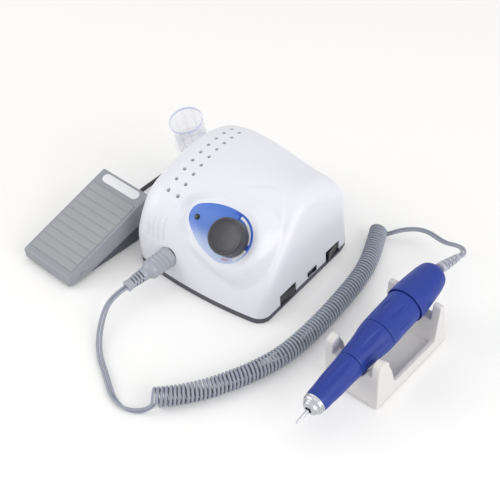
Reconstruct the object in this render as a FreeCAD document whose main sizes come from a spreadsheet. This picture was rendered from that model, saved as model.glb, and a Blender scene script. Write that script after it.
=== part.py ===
import FreeCAD, Part
import math
import os
import re
import Sketcher

# Nail drill machine: control box, cup, handpiece in its cradle and foot pedal.
# Units are millimetres, +Z is up, and the object stands on z = 0.
# The origin is the middle of the footprint, without the cords.

os.makedirs("parts", exist_ok=True)
doc = FreeCAD.newDocument("nail_drill_machine")
Vector = FreeCAD.Vector
sheet = doc.addObject("Spreadsheet::Sheet", "dims")
NAMES = {}
NODES = []


def cells(**values):
    """Put plain numbers in the sheet, each under its own name."""
    for name, number in values.items():
        row = len(NAMES) + 1
        sheet.set("A%d" % row, name)
        sheet.set("B%d" % row, str(number))
        sheet.setAlias("B%d" % row, name)
        NAMES[name] = number


# Control box. Heights and depths of the three cross-sections run from the foot
# of the front wall over the brow and the crown to the rear wall.
cells(box_width=130, side_span=66, rear_line=57, lean_right=0.085, lean_left=0.008)
cells(left_foot_y=-55.5, left_brow_y=-59.7, left_brow_z=41.1)
cells(left_crown_y=-29.8, left_crown_z=77.4, left_back_z=68.1, left_foot_radius=128.2)
cells(middle_foot_y=-62.9, middle_brow_y=-53, middle_brow_z=42)
cells(middle_crown_y=-27, middle_crown_z=71.5, middle_back_z=78.5, middle_foot_radius=86.7)
cells(right_foot_y=-58.9, right_brow_y=-43.2, right_brow_z=29.6)
cells(right_crown_y=-0.8, right_crown_z=72.7, right_back_z=57, right_foot_radius=60.5)
cells(edge_round=11, inner_scale=0.9615, shell_base=5, tray_base=1.5, tray_floor=4)
cells(foot_radius=7, foot_x=44, foot_y_front=-40, foot_y_back=40)
cells(boss_x=56, boss_y_front=-46, boss_y_back=52.5, boss_radius=4, screw_radius=1.5)
cells(vent_radius=1.5, vent_count=9, vent_outer_x=-42.5, vent_inner_x=-33)
cells(vent_front_y=-37, vent_outer_pitch=9.9, vent_inner_pitch=9.2)

# Dial on its tilted pad.
cells(knob_x=22.8, knob_y=-41.9, knob_z=56.5, dial_tilt=43.8)
cells(pad_radius=20.7, pad_u=-3.5, pad_v=0, tail_radius=11, tail_u=-32.5, tail_v=4.5)
cells(pad_sweep=60, pad_rim=2, pad_depth=7, panel_thick=0.6)
cells(lens_u=-35.9, lens_v=3.4, lens_radius=2.1, bush_radius=3.6, shaft_radius=3)
cells(knob_radius=15.7, knob_height=10, band_radius=17.6, band_width=1.3, band_thick=0.2)

# Right wall: power rocker, direction rocker and mode slider.
cells(power_y=-24.5, power_length=20, direction_y=38.2, direction_length=18)
cells(rocker_z=8, rocker_height=10.5, rocker_tilt=8, window_x=64.1, rocker_x=58.5, pivot_radius=1.1)
cells(slot_y=8.3, slot_length=12, slot_z=8.3, slot_height=4.4)

# Rear wall: mains inlet and pedal socket.
cells(inlet_x=38, inlet_z=24, inlet_width=25, inlet_height=17, inlet_depth=12)
cells(jack_x=6, jack_z=12, jack_radius=1.75)

# Handpiece socket and plug on the front wall.
cells(plug_x=-28.2, plug_y=-60.6, plug_z=23.4, plug_yaw=-102.4, plug_dip=10.3)
cells(plug_radius=8.75, plug_length=41.6)

# Cup and its bracket on the left wall.
cells(cup_x=-82, cup_y=50.2, cup_z=18, cup_tilt=16.9, cup_height=67, cup_top=14.5)
cells(cup_bottom=12.2, cup_wall=0.9, ring_low=30, ring_high=40, ring_wall=2.2, cup_gap=0.35)

# Handpiece: stations along its axis from the tip of the bur.
cells(hand_x=150.8, hand_y=-138.2, hand_z=28.8, hand_yaw=86.52, hand_rise=6.85)
cells(shank_radius=1.175, bur_exit=13.2, grip_front=21.1, sleeve_front=61, sleeve_back=93.5)
cells(cap_front=126.3, cap_end=170, seam_gap=0.4, spindle_radius=3.5, barrel_radius=7.8)
cells(boot_drop=16, boot_length=26, boot_root=4.35, boot_tip=3)

# Cradle under the handpiece.
cells(cradle_x=154.65, cradle_y=-75.4, cradle_yaw=-3.46, cradle_width=46.2)
cells(cradle_length=91.9, cradle_wall=4, cradle_floor=4.5, ear_height=47, rail_height=12)
cells(cradle_foot=1, post_front=74.3, post_height=46)

# Foot pedal.
cells(pedal_x=-110.3, pedal_y=-116.1, pedal_yaw=-4.83, pedal_width=55.6, pedal_length=92.3)
cells(nose_height=12.3, bend_y=78.1, bend_height=37.8, heel_height=42, skirt=15)
cells(gland_x=-10, gland_z=9)
cells(pin_y=14.5, pin_z=7, pin_radius=2, treadle_wall=2.2, mat_thick=0.8)

# Cords. The curly length is two round strands wound side by side.
cells(lead_radius=2.44, strand_radius=1.1, strand_gap=0.46, curl_radius=6.65, curl_turns=44)
cells(curl_height=7.77, curl_step=2.98)
cells(pedal_cord_radius=2, coil_x=-54, coil_y=88.2, coil_inner=12.3, coil_turns=3.5, coil_gap=0.45)

# The control box stands off the middle of the footprint by this much.
cells(shift_x=-22.6, shift_y=38.15)
doc.recompute()


def formula(text):
    """An expression for the sheet's named cells, from their bare names."""
    return re.sub(r"[a-z_]{5,}", lambda word: mark(word.group(0)), str(text))


def mark(word):
    return "dims." + word if word in NAMES else word


def value(text):
    """The number that an expression gives now."""
    return float(sheet.evalExpression(str(text)))


def bind(item, prop, text):
    item.setExpression(prop, formula(text))


def frame(at, turn=(0, 0, 0)):
    """The expression of a placement: a point, then yaw, pitch and roll."""
    return "placement(vector(%s; %s; %s); rotation(%s; %s; %s))" % (*at, *turn)


SHIFT = frame(("shift_x", "shift_y", 0))
DIAL = frame(("knob_x", "knob_y", "knob_z"), (0, 0, "dial_tilt"))
PLUG = frame(("plug_x", "plug_y", "plug_z"), ("plug_yaw", "plug_dip", 0))
CUP = frame(("cup_x", "cup_y", "cup_z"), (0, 0, "cup_tilt"))
HAND = frame(("hand_x", "hand_y", "hand_z"), ("hand_yaw", "-hand_rise", 0))
BOOT = frame(("cap_end - 1.5", 0, 0), (0, "hand_rise + boot_drop", 0))
CRADLE = frame(("cradle_x", "cradle_y", 0), ("cradle_yaw", 0, 0))
PEDAL = frame(("pedal_x", "pedal_y", 0), ("pedal_yaw", 0, 0))


def put(item, *frames):
    """Place an item by one frame inside another."""
    bind(item, "Placement", " * ".join(frames))
    return item


def node(label, item, *frames):
    """Name a finished sub-part and place it in the object's frame."""
    if item.ExpressionEngine and "Placement" in dict(item.ExpressionEngine):
        item = group(label + "_piece", item)
    item.Label = label
    put(item, SHIFT, *frames)
    NODES.append(item)
    return item


def box(name, size, at, turn=(0, 0, 0)):
    item = doc.addObject("Part::Box", name)
    for prop, text in zip(("Length", "Width", "Height"), size):
        bind(item, prop, text)
    return put(item, frame(at, turn))


def middle_box(name, size, at):
    """A box that is centred on its point in X and Y and stands on it in Z."""
    corner = ("(%s) - (%s) / 2" % (at[0], size[0]), "(%s) - (%s) / 2" % (at[1], size[1]), at[2])
    return box(name, size, corner)


AXES = {"x": (0, 90, 0), "y": (0, 0, -90), "z": (0, 0, 0)}


def cylinder(name, radius, length, at, axis="z"):
    item = doc.addObject("Part::Cylinder", name)
    bind(item, "Radius", radius)
    bind(item, "Height", length)
    return put(item, frame(at, AXES[axis]))


def cone(name, radii, length, at, axis="z"):
    item = doc.addObject("Part::Cone", name)
    bind(item, "Radius1", radii[0])
    bind(item, "Radius2", radii[1])
    bind(item, "Height", length)
    return put(item, frame(at, AXES[axis]))


def fuse(name, *items):
    item = doc.addObject("Part::MultiFuse", name)
    item.Shapes = list(items)
    return item


def group(name, *items):
    """Separate solids under one name."""
    item = doc.addObject("Part::Compound", name)
    item.Links = list(items)
    return item


def cut(name, base, *tools):
    item = doc.addObject("Part::Cut", name)
    item.Base = base
    item.Tool = tools[0] if len(tools) == 1 else fuse(name + "_tools", *tools)
    return item


def overlap(name, first, second):
    item = doc.addObject("Part::Common", name)
    item.Base = first
    item.Tool = second
    return item


def plane_sketch(body, role):
    """A sketch on one of the body's own origin planes."""
    sketch = body.newObject("Sketcher::SketchObject", body.Name + "_outline")
    plane = [item for item in body.Origin.OriginFeatures if item.Role == role][0]
    sketch.AttachmentSupport = [(plane, "")]
    sketch.MapMode = "FlatFace"
    return sketch


def pin_point(sketch, edge, end, x, y):
    """Hold one end of an edge at a place given by two expressions."""
    for kind, text in (("DistanceX", x), ("DistanceY", y)):
        constraint = Sketcher.Constraint(kind, -1, 1, edge, end, value(text))
        index = sketch.addConstraint(constraint)
        bind(sketch, "Constraints[%d]" % index, text)


def arc_between(start, end, radius):
    """An arc that bulges to the right of its run, or to the left below zero."""
    run = Vector(end[0] - start[0], end[1] - start[1], 0)
    left = Vector(-run.y, run.x, 0).normalize()
    rise = math.sqrt(radius ** 2 - run.Length ** 2 / 4)
    side = math.copysign(rise, radius)
    middle = Vector((start[0] + end[0]) / 2, (start[1] + end[1]) / 2, 0) + left * side
    first = math.atan2(start[1] - middle.y, start[0] - middle.x)
    last = math.atan2(end[1] - middle.y, end[0] - middle.x)
    if radius < 0:
        first, last = last, first
    circle = Part.Circle(middle, Vector(0, 0, 1), abs(radius))
    return Part.ArcOfCircle(circle, first, last)


def draw(sketch, outline):
    """A closed outline. A third entry is the radius of the arc to the next point."""
    spots = [(value(x), value(y)) for x, y, *_ in outline]
    ends = []
    for index, spot in enumerate(spots):
        following = spots[(index + 1) % len(spots)]
        radius = value(outline[index][2]) if len(outline[index]) > 2 else 0
        if radius:
            sketch.addGeometry(arc_between(spot, following, radius))
        else:
            sketch.addGeometry(Part.LineSegment(Vector(*spot, 0), Vector(*following, 0)))
        ends.append((2, 1) if radius < 0 else (1, 2))
    for index, (x, y, *bend) in enumerate(outline):
        after = (index + 1) % len(outline)
        joint = Sketcher.Constraint("Coincident", index, ends[index][1], after, ends[after][0])
        sketch.addConstraint(joint)
        pin_point(sketch, index, ends[index][0], x, y)
        if bend:
            size = Sketcher.Constraint("Radius", index, abs(value(bend[0])))
            bind(sketch, "Constraints[%d]" % sketch.addConstraint(size), "abs(%s)" % bend[0])


def turned(name, outline):
    """A body turned about its X axis from an outline of stations and radii."""
    body = doc.addObject("PartDesign::Body", name)
    sketch = plane_sketch(body, "XY_Plane")
    draw(sketch, outline)
    turn = body.newObject("PartDesign::Revolution", name + "_turn")
    turn.Profile = sketch
    turn.ReferenceAxis = (sketch, ["H_Axis"])
    turn.Angle = 360
    return body


def padded(name, role, outline, length, middle=False):
    """A body made by drawing an outline on an origin plane and padding it."""
    body = doc.addObject("PartDesign::Body", name)
    sketch = plane_sketch(body, role)
    draw(sketch, outline)
    pad = body.newObject("PartDesign::Pad", name + "_pad")
    pad.Profile = sketch
    bind(pad, "Length", length)
    if middle:
        pad.SideType = "Symmetric"
    return body


def rounded(name, base, radius, wanted):
    """Round the edges whose middle point passes the test."""
    doc.recompute()
    picked = []
    for index, edge in enumerate(base.Shape.Edges, 1):
        middle = edge.valueAt((edge.FirstParameter + edge.LastParameter) / 2)
        if wanted(middle, edge):
            picked.append((index, value(radius), value(radius)))
    item = doc.addObject("Part::Fillet", name)
    item.Base = base
    item.Edges = picked
    return item


# Control box form: a loft through three cross-sections, trimmed by leaning sides.

def section(side, x):
    """A cross-section of three arcs that meet smoothly, closed by two lines."""
    sketch = doc.addObject("Sketcher::SketchObject", side + "_section")
    spots = [(side + "_foot_y", "0"), (side + "_brow_y", side + "_brow_z")]
    spots += [(side + "_crown_y", side + "_crown_z"), ("rear_line", side + "_back_z")]
    points = [Vector(value(y), value(z), 0) for y, z in spots]
    radius = value(side + "_foot_radius")
    for start, end in zip(points, points[1:]):
        arc = arc_between((end.x, end.y), (start.x, start.y), radius)
        sketch.addGeometry(arc)
        radius = next_radius(arc, start, end, points)
    low_back = Vector(points[3].x, 0, 0)
    sketch.addGeometry(Part.LineSegment(points[3], low_back))
    sketch.addGeometry(Part.LineSegment(low_back, points[0]))
    sketch.addConstraint(Sketcher.Constraint("Tangent", 0, 1, 1, 2))
    sketch.addConstraint(Sketcher.Constraint("Tangent", 1, 1, 2, 2))
    sketch.addConstraint(Sketcher.Constraint("Coincident", 2, 1, 3, 1))
    sketch.addConstraint(Sketcher.Constraint("Coincident", 3, 2, 4, 1))
    sketch.addConstraint(Sketcher.Constraint("Coincident", 4, 2, 0, 2))
    places = list(zip(((0, 2), (0, 1), (1, 1), (2, 1)), spots))
    for (edge, end), (y, z) in places + [((3, 2), ("rear_line", "0"))]:
        pin_point(sketch, edge, end, y, z)
    size = Sketcher.Constraint("Radius", 0, value(side + "_foot_radius"))
    bind(sketch, "Constraints[%d]" % sketch.addConstraint(size), side + "_foot_radius")
    bind(sketch, "Placement", frame((x, 0, 0), (90, 0, 90)))
    return sketch


def next_radius(arc, start, end, points):
    """Radius of the arc that leaves this one smoothly and meets the next point."""
    spoke = end - arc.Center
    heading = Vector(spoke.y, -spoke.x, 0).normalize()
    place = points.index(end)
    if place == len(points) - 1:
        return 0
    run = points[place + 1] - end
    inward = Vector(heading.y, -heading.x, 0)
    return run.dot(run) / (2 * inward.dot(run))


def control_box_form():
    sections = [section("left", "-side_span"), section("middle", "0"), section("right", "side_span")]
    loft = doc.addObject("Part::Loft", "box_loft")
    loft.Sections = sections
    loft.Solid = True
    top = "95"
    plan = padded("box_sides", "XZ_Plane", [
        ("-box_width / 2", "0"), ("box_width / 2", "0"),
        ("box_width / 2 - lean_right * " + top, top),
        ("-box_width / 2 + lean_left * " + top, top)], "200", True)
    block = overlap("box_block", loft, plan)

    def side_edge(middle, edge):
        limit = value("box_width") / 2
        slope = value("lean_right") if middle.x > 0 else value("lean_left")
        near = abs(abs(middle.x) - (limit - slope * middle.z)) < 1.2
        return near and middle.z > 0.01 and middle.y < value("rear_line") - 0.1

    return rounded("box_form", block, "edge_round", side_edge)


def teardrop(name, grow, low, high):
    """The dial pad's outline: two circles joined by two long convex arcs."""
    big = Vector(value("pad_u"), value("pad_v"), 0)
    small = Vector(value("tail_u"), value("tail_v"), 0)
    sweep = value("pad_sweep") + grow
    big_radius = value("pad_radius") + grow
    small_radius = value("tail_radius") + grow
    span = (small - big).Length
    far, near = sweep - big_radius, sweep - small_radius
    along = (far ** 2 - near ** 2 + span ** 2) / (2 * span)
    aside = math.sqrt(far ** 2 - along ** 2)
    axis = (small - big).normalize()
    across = Vector(-axis.y, axis.x, 0)
    edges = []
    touches = []
    for side in (1, -1):
        middle = big + axis * along + across * aside * side
        first = big + (big - middle).normalize() * big_radius
        last = small + (small - middle).normalize() * small_radius
        halfway = middle + ((first + last) / 2 - middle).normalize() * sweep
        edges.append(Part.Arc(first, halfway, last).toShape())
        touches.append((first, last))
    edges.append(Part.Arc(touches[0][0], big - axis * big_radius, touches[1][0]).toShape())
    edges.append(Part.Arc(touches[0][1], small + axis * small_radius, touches[1][1]).toShape())
    wire = Part.Wire(Part.__sortEdges__(edges))
    face = Part.Face(wire)
    face.translate(Vector(0, 0, low))
    item = doc.addObject("Part::Feature", name)
    item.Shape = face.extrude(Vector(0, 0, high - low))
    return item


def vent_holes():
    holes = []
    for row in ("outer", "inner"):
        for index in range(int(value("vent_count"))):
            at = ("vent_%s_x" % row, "vent_front_y + %d * vent_%s_pitch" % (index, row), 55)
            holes.append(cylinder("vent_%s_%d" % (row, index + 1), "vent_radius", 40, at))
    return group("vent_holes", *holes)


def corner_posts(name, radius, height, low):
    posts = []
    for x in ("-boss_x", "boss_x"):
        for y in ("boss_y_front", "boss_y_back"):
            posts.append(cylinder("%s_%d" % (name, len(posts) + 1), radius, height, (x, y, low)))
    return group(name, *posts)


def rocker_window(name, y, length):
    return box(name, (26, length, "rocker_height + 1"),
               ("window_x - 19", "%s - (%s) / 2" % (y, length), "rocker_z - rocker_height / 2 - 0.5"))


def console_shell(form):
    below = box("below_shell", (200, 200, "shell_base"), (-100, -100, 0))
    block = cut("shell_block", form, below)
    hollow = doc.addObject("Part::Scale", "shell_hollow")
    hollow.Base = form
    bind(hollow, "UniformScale", "inner_scale")
    skin = cut("shell_skin", block, hollow)
    posts = corner_posts("shell_posts", "boss_radius", 90, "shell_base")
    posts = overlap("shell_bosses", posts, form)
    slab = put(teardrop("pad_slab", value("pad_rim"), -value("pad_depth"), 0), DIAL)
    walls = fuse("shell_walls", skin, posts, slab)
    above = put(teardrop("above_pad", value("pad_rim"), 0, 25), DIAL)
    bush = put(cylinder("bush_hole", "bush_radius", 60, (0, 0, 0)), DIAL + " * " + frame((0, 0, -30)))
    lens = put(cylinder("lens_hole", "lens_radius", 40, (0, 0, 0)),
               DIAL + " * " + frame(("lens_u", "lens_v", -20)))
    socket = put(cylinder("socket_hole", 8.8, 30, (0, 0, 0)),
                 PLUG + " * " + frame((-15, 0, 0), AXES["x"]))
    screws = corner_posts("screw_holes", "screw_radius + 0.1", 20, 0)
    power = rocker_window("power_window", "power_y", "power_length + 1.6")
    direction = rocker_window("direction_window", "direction_y", "direction_length + 1.6")
    slot = box("slider_slot", (20, "slot_length", "slot_height"),
               ("window_x - 14", "slot_y - slot_length / 2", "slot_z - slot_height / 2"))
    inlet = middle_box("inlet_window", ("inlet_width", 10, "inlet_height"),
                       ("inlet_x", "rear_line - 1", "inlet_z - inlet_height / 2"))
    jack = cylinder("jack_hole", 4.2, 12, ("jack_x", "rear_line - 6", "jack_z"), "y")
    shell = cut("shell_body", walls, above, bush, lens, socket, vent_holes(), screws,
                power, direction, slot, inlet, jack)
    node("top_shell", shell)


def console_base(form):
    slab = box("tray_slab", (200, 200, "shell_base - tray_base"), (-100, -100, "tray_base"))
    plate = overlap("tray_plate", form, slab)
    pocket = doc.addObject("Part::Scale", "tray_pocket_form")
    pocket.Base = form
    bind(pocket, "UniformScale", "inner_scale")
    level = box("tray_pocket_slab", (200, 200, 5), (-100, -100, "tray_floor"))
    pocket = overlap("tray_pocket", pocket, level)
    seats = corner_posts("tray_seats", "boss_radius", "shell_base - tray_floor", "tray_floor")
    power = rocker_window("tray_power_window", "power_y", "power_length + 1.6")
    direction = rocker_window("tray_direction_window", "direction_y", "direction_length + 1.6")
    holes = corner_posts("tray_screw_holes", "screw_radius + 0.1", 20, 0)
    tray = cut("tray_open", plate, pocket)
    tray = fuse("tray_seated", tray, seats)
    node("base_tray", cut("tray_body", tray, power, direction, holes))
    feet = []
    for x in ("-foot_x", "foot_x"):
        for y in ("foot_y_front", "foot_y_back"):
            name = "foot_%d" % (len(feet) + 1)
            feet.append(cone(name, ("foot_radius - 0.8", "foot_radius"), "tray_base", (x, y, 0)))
    node("rubber_feet", group("feet", *feet))
    heads = corner_posts("screw_heads", 2.8, 1, "tray_base - 1")
    shanks = corner_posts("screw_shanks", "screw_radius", 14, "tray_base")
    screws = []
    for index in range(4):
        pair = [heads.Links[index], shanks.Links[index]]
        screws.append(fuse("screw_%d" % (index + 1), *pair))
    node("base_screws", group("screws", *screws))


def dial():
    plate = teardrop("panel_plate", 0, 0, value("panel_thick"))
    hole = cylinder("panel_bush_hole", "bush_radius", 4, (0, 0, -1))
    eye = cylinder("panel_lens_hole", "lens_radius", 4, ("lens_u", "lens_v", -1))
    node("dial_panel", cut("panel_body", plate, hole, eye), DIAL)
    arcs = []
    for start, span in ((-48, 40), (2, 82)):
        outer = cylinder("band_outer_%d" % span, "band_radius + band_width / 2", "band_thick", (0, 0, 0))
        outer.Angle = span
        put(outer, frame((0, 0, "panel_thick"), (start, 0, 0)))
        bore = cylinder("band_bore_%d" % span, "band_radius - band_width / 2", 2, (0, 0, 0))
        arcs.append(cut("band_%d" % span, outer, bore))
    node("dial_arcs", group("bands", *arcs), DIAL)
    lens = turned("lens", [("-6", "0"), ("-6", "lens_radius - 0.1"),
                           ("panel_thick", "lens_radius - 0.1", "-3"), ("panel_thick + 0.9", "0")])
    node("indicator_lens", group("lens_piece", put(lens, frame(("lens_u", "lens_v", 0), (0, -90, 0)))),
         DIAL)
    knob = turned("knob", [
        ("1", "shaft_radius"), ("1", "knob_radius - 0.3"), ("knob_height - 2", "knob_radius", "-1.6"),
        ("knob_height - 0.4", "knob_radius - 1.6"), ("knob_height - 1", "knob_radius - 4"),
        ("knob_height - 1", "0"), ("8", "0"), ("8", "shaft_radius")])
    node("speed_knob", group("knob_piece", put(knob, frame((0, 0, 0), (0, -90, 0)))), DIAL)
    shaft = cylinder("knob_shaft_rod", "shaft_radius", 22, (0, 0, -14))
    node("knob_shaft", group("shaft_piece", shaft), DIAL)
    # The can hangs clear of the front wall, which runs down beside the pad's slab.
    can = cylinder("pot_can", 8.5, 9, (0, 0, "-pad_depth - 12.4"))
    bush = cylinder("pot_bush", "bush_radius - 0.1", "pad_depth + 4", (0, 0, "-pad_depth - 3.5"))
    tags = middle_box("pot_tags", (12, 4, 7), (0, -10, "-pad_depth - 11.4"))
    bore = cylinder("pot_bore", "shaft_radius + 0.06", 30, (0, 0, -14.2))
    node("potentiometer", cut("pot_body", fuse("pot_solid", can, bush, tags), bore), DIAL)


def rocker_switch(name, y, length, tilt):
    """A rocker in its housing; the rocker rests with one end pressed in."""
    middle = "rocker_z - rocker_height / 2"
    outside = middle_box(name + "_case", (17, length + " + 1", "rocker_height + 0.6"),
                         ("window_x - 9.2", y, middle + " - 0.3"))
    inside = middle_box(name + "_room", (17, length + " - 1", "rocker_height - 1.2"),
                        ("window_x - 5", y, middle + " + 0.6"))
    seat = cylinder(name + "_seat", "pivot_radius + 0.08", 20, ("rocker_x", y, middle + " - 4"))
    node(name + "_switch", cut(name + "_switch_body", outside, inside, seat))
    half = "(%s / 2 - 1.1)" % length
    face = padded(name + "_rocker_body", "XY_Plane", [
        ("-2.5", "-" + half), ("window_x - rocker_x - 1", "-" + half),
        ("window_x - rocker_x - 1.6", "0"), ("window_x - rocker_x - 1", half), ("-2.5", half)],
        "rocker_height - 1.8")
    piece = put(face, frame(("rocker_x", y, middle + " + 0.9"), (tilt, 0, 0)))
    pivot = cylinder(name + "_pivot", "pivot_radius", "rocker_height + 0.2",
                     ("rocker_x", y, middle + " - 0.1"))
    node(name + "_rocker", fuse(name + "_rocker_piece", piece, pivot))


def slide_switch():
    case = middle_box("slide_case", (7, 20, 8), ("window_x - 8.5", "slot_y", "slot_z - 4"))
    room = middle_box("slide_room", (7, "slot_length", "slot_height"),
                      ("window_x - 7", "slot_y", "slot_z - slot_height / 2"))
    node("slide_switch", cut("slide_body", case, room))
    stem = middle_box("slide_stem", (7.5, 5, 3.4), ("window_x - 5.5", "slot_y - 3", "slot_z - 1.7"))
    node("mode_slider", group("slider", stem))


def rear_fittings():
    case = middle_box("inlet_case", ("inlet_width - 0.2", "inlet_depth", "inlet_height - 0.2"),
                      ("inlet_x", "rear_line - inlet_depth / 2", "inlet_z - inlet_height / 2 + 0.1"))
    recess = middle_box("inlet_recess", (19, 10, 10), ("inlet_x", "rear_line - 4", "inlet_z - 5"))
    pins = []
    for side in ("-", "+"):
        at = ("inlet_x %s 4.3" % side, "rear_line - inlet_depth + 1", "inlet_z")
        pins.append(cylinder("inlet_pin_%d" % len(pins), 1.2, 9, at, "y"))
    inlet = fuse("inlet_body", cut("inlet_open", case, recess), *pins)
    node("power_inlet", inlet)
    bush = cylinder("jack_bush", 4.1, 14, ("jack_x", "rear_line - 13", "jack_z"), "y")
    flange = cylinder("jack_flange", 5.5, 1, ("jack_x", "rear_line", "jack_z"), "y")
    bore = cylinder("jack_bore", "jack_radius + 0.1", 17, ("jack_x", "rear_line - 12", "jack_z"), "y")
    node("pedal_socket", cut("jack_body", fuse("jack_solid", bush, flange), bore))


def electronics():
    core = middle_box("core", (44, 18, 36), (-18, 12, "tray_floor"))
    coil = middle_box("winding", (28, 36, 24), (-18, 12, "tray_floor + 6"))
    node("transformer", fuse("transformer_body", core, coil))
    node("circuit_board", group("board", middle_box("board_plate", (84, 34, 1.6), (-6, -34, 9))))
    fins = [middle_box("sink_base", (24, 12, 2), (8, -34, 10.6))]
    for index in range(5):
        fins.append(middle_box("fin_%d" % index, (1.4, 12, 16), ("%g" % (-2 + 5 * index), -34, 12.6)))
    node("heat_sink", fuse("sink_body", *fins))
    node("capacitor", group("can", cylinder("can_body", 6, 18, (-24, -36, 10.6))))


def handpiece_socket_and_plug():
    socket = turned("socket_turned", [
        ("-14", "0"), ("-14", "8.7"), ("-1", "8.7"), ("0.4", "8.7"), ("0.4", "6.9"),
        ("-10", "6.9"), ("-10", "0")])
    node("handpiece_socket", socket, PLUG)
    plug = turned("plug_turned", [
        ("-9", "5.6"), ("-9", "6.6"), ("0.6", "6.6"), ("0.6", "plug_radius - 0.4"),
        ("1.6", "plug_radius"), ("14.5", "plug_radius - 0.5"), ("16.5", "plug_radius - 1.9"),
        ("22", "5.6"), ("22", "0"), ("-2", "0"), ("-2", "5.6")])
    node("plug_body", plug, PLUG)
    boot = turned("plug_boot_turned", [
        ("22", "0"), ("22", "5.6"), ("31", "4.9"), ("38.4", "4.1"), ("38.4", "4.7"),
        ("plug_length - 0.6", "4.7"), ("plug_length", "4.1"), ("plug_length", "0")])
    node("plug_boot", boot, PLUG)
    pins = []
    for index in range(5):
        turn = math.radians(45 * index - 90)
        at = ("-8", "%.4f" % (3.4 * math.cos(turn)), "%.4f" % (3.4 * math.sin(turn)))
        pins.append(cylinder("pin_%d" % (index + 1), 0.7, 6, at, "x"))
    node("plug_pins", group("pins", *pins), PLUG)


def cup_and_holder(form):
    slope = "(cup_top - cup_bottom) / cup_height"
    cup = turned("cup_turned", [
        ("0", "0"), ("0", "cup_bottom"), ("cup_height", "cup_top"),
        ("cup_height", "cup_top - cup_wall"), ("cup_wall + 0.6", "cup_bottom - cup_wall"),
        ("cup_wall + 0.6", "0")])
    node("cup", group("cup_piece", put(cup, frame((0, 0, 0), (0, -90, 0)))), CUP)
    low = "cup_bottom + %s * ring_low + cup_gap" % slope
    high = "cup_bottom + %s * ring_high + cup_gap" % slope
    ring = turned("ring_turned", [
        ("ring_low", low), ("ring_low", low + " + ring_wall"),
        ("ring_high", high + " + ring_wall"), ("ring_high", high)])
    ring = put(ring, CUP + " * " + frame((0, 0, 0), (0, -90, 0)))
    arm = middle_box("holder_arm", (9, 16, 12), ("-box_width / 2 - 2.4", 40, 44))
    plate = middle_box("holder_plate", (5, 30, 26), ("-box_width / 2 - 0.6", 41, 36))
    hole = put(cone("holder_room", (low, high), "ring_high - ring_low", (0, 0, 0)),
               CUP + " * " + frame((0, 0, "ring_low")))
    wide = put(cone("holder_clear", (14.2, 14.7), 60, (0, 0, 0)), CUP + " * " + frame((0, 0, -8)))
    arm = cut("holder_arm_open", fuse("holder_arms", arm, plate), wide)
    holder = cut("holder_trim", fuse("holder_solid", ring, arm), form)
    node("cup_holder", cut("holder_body", holder, hole))


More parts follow.
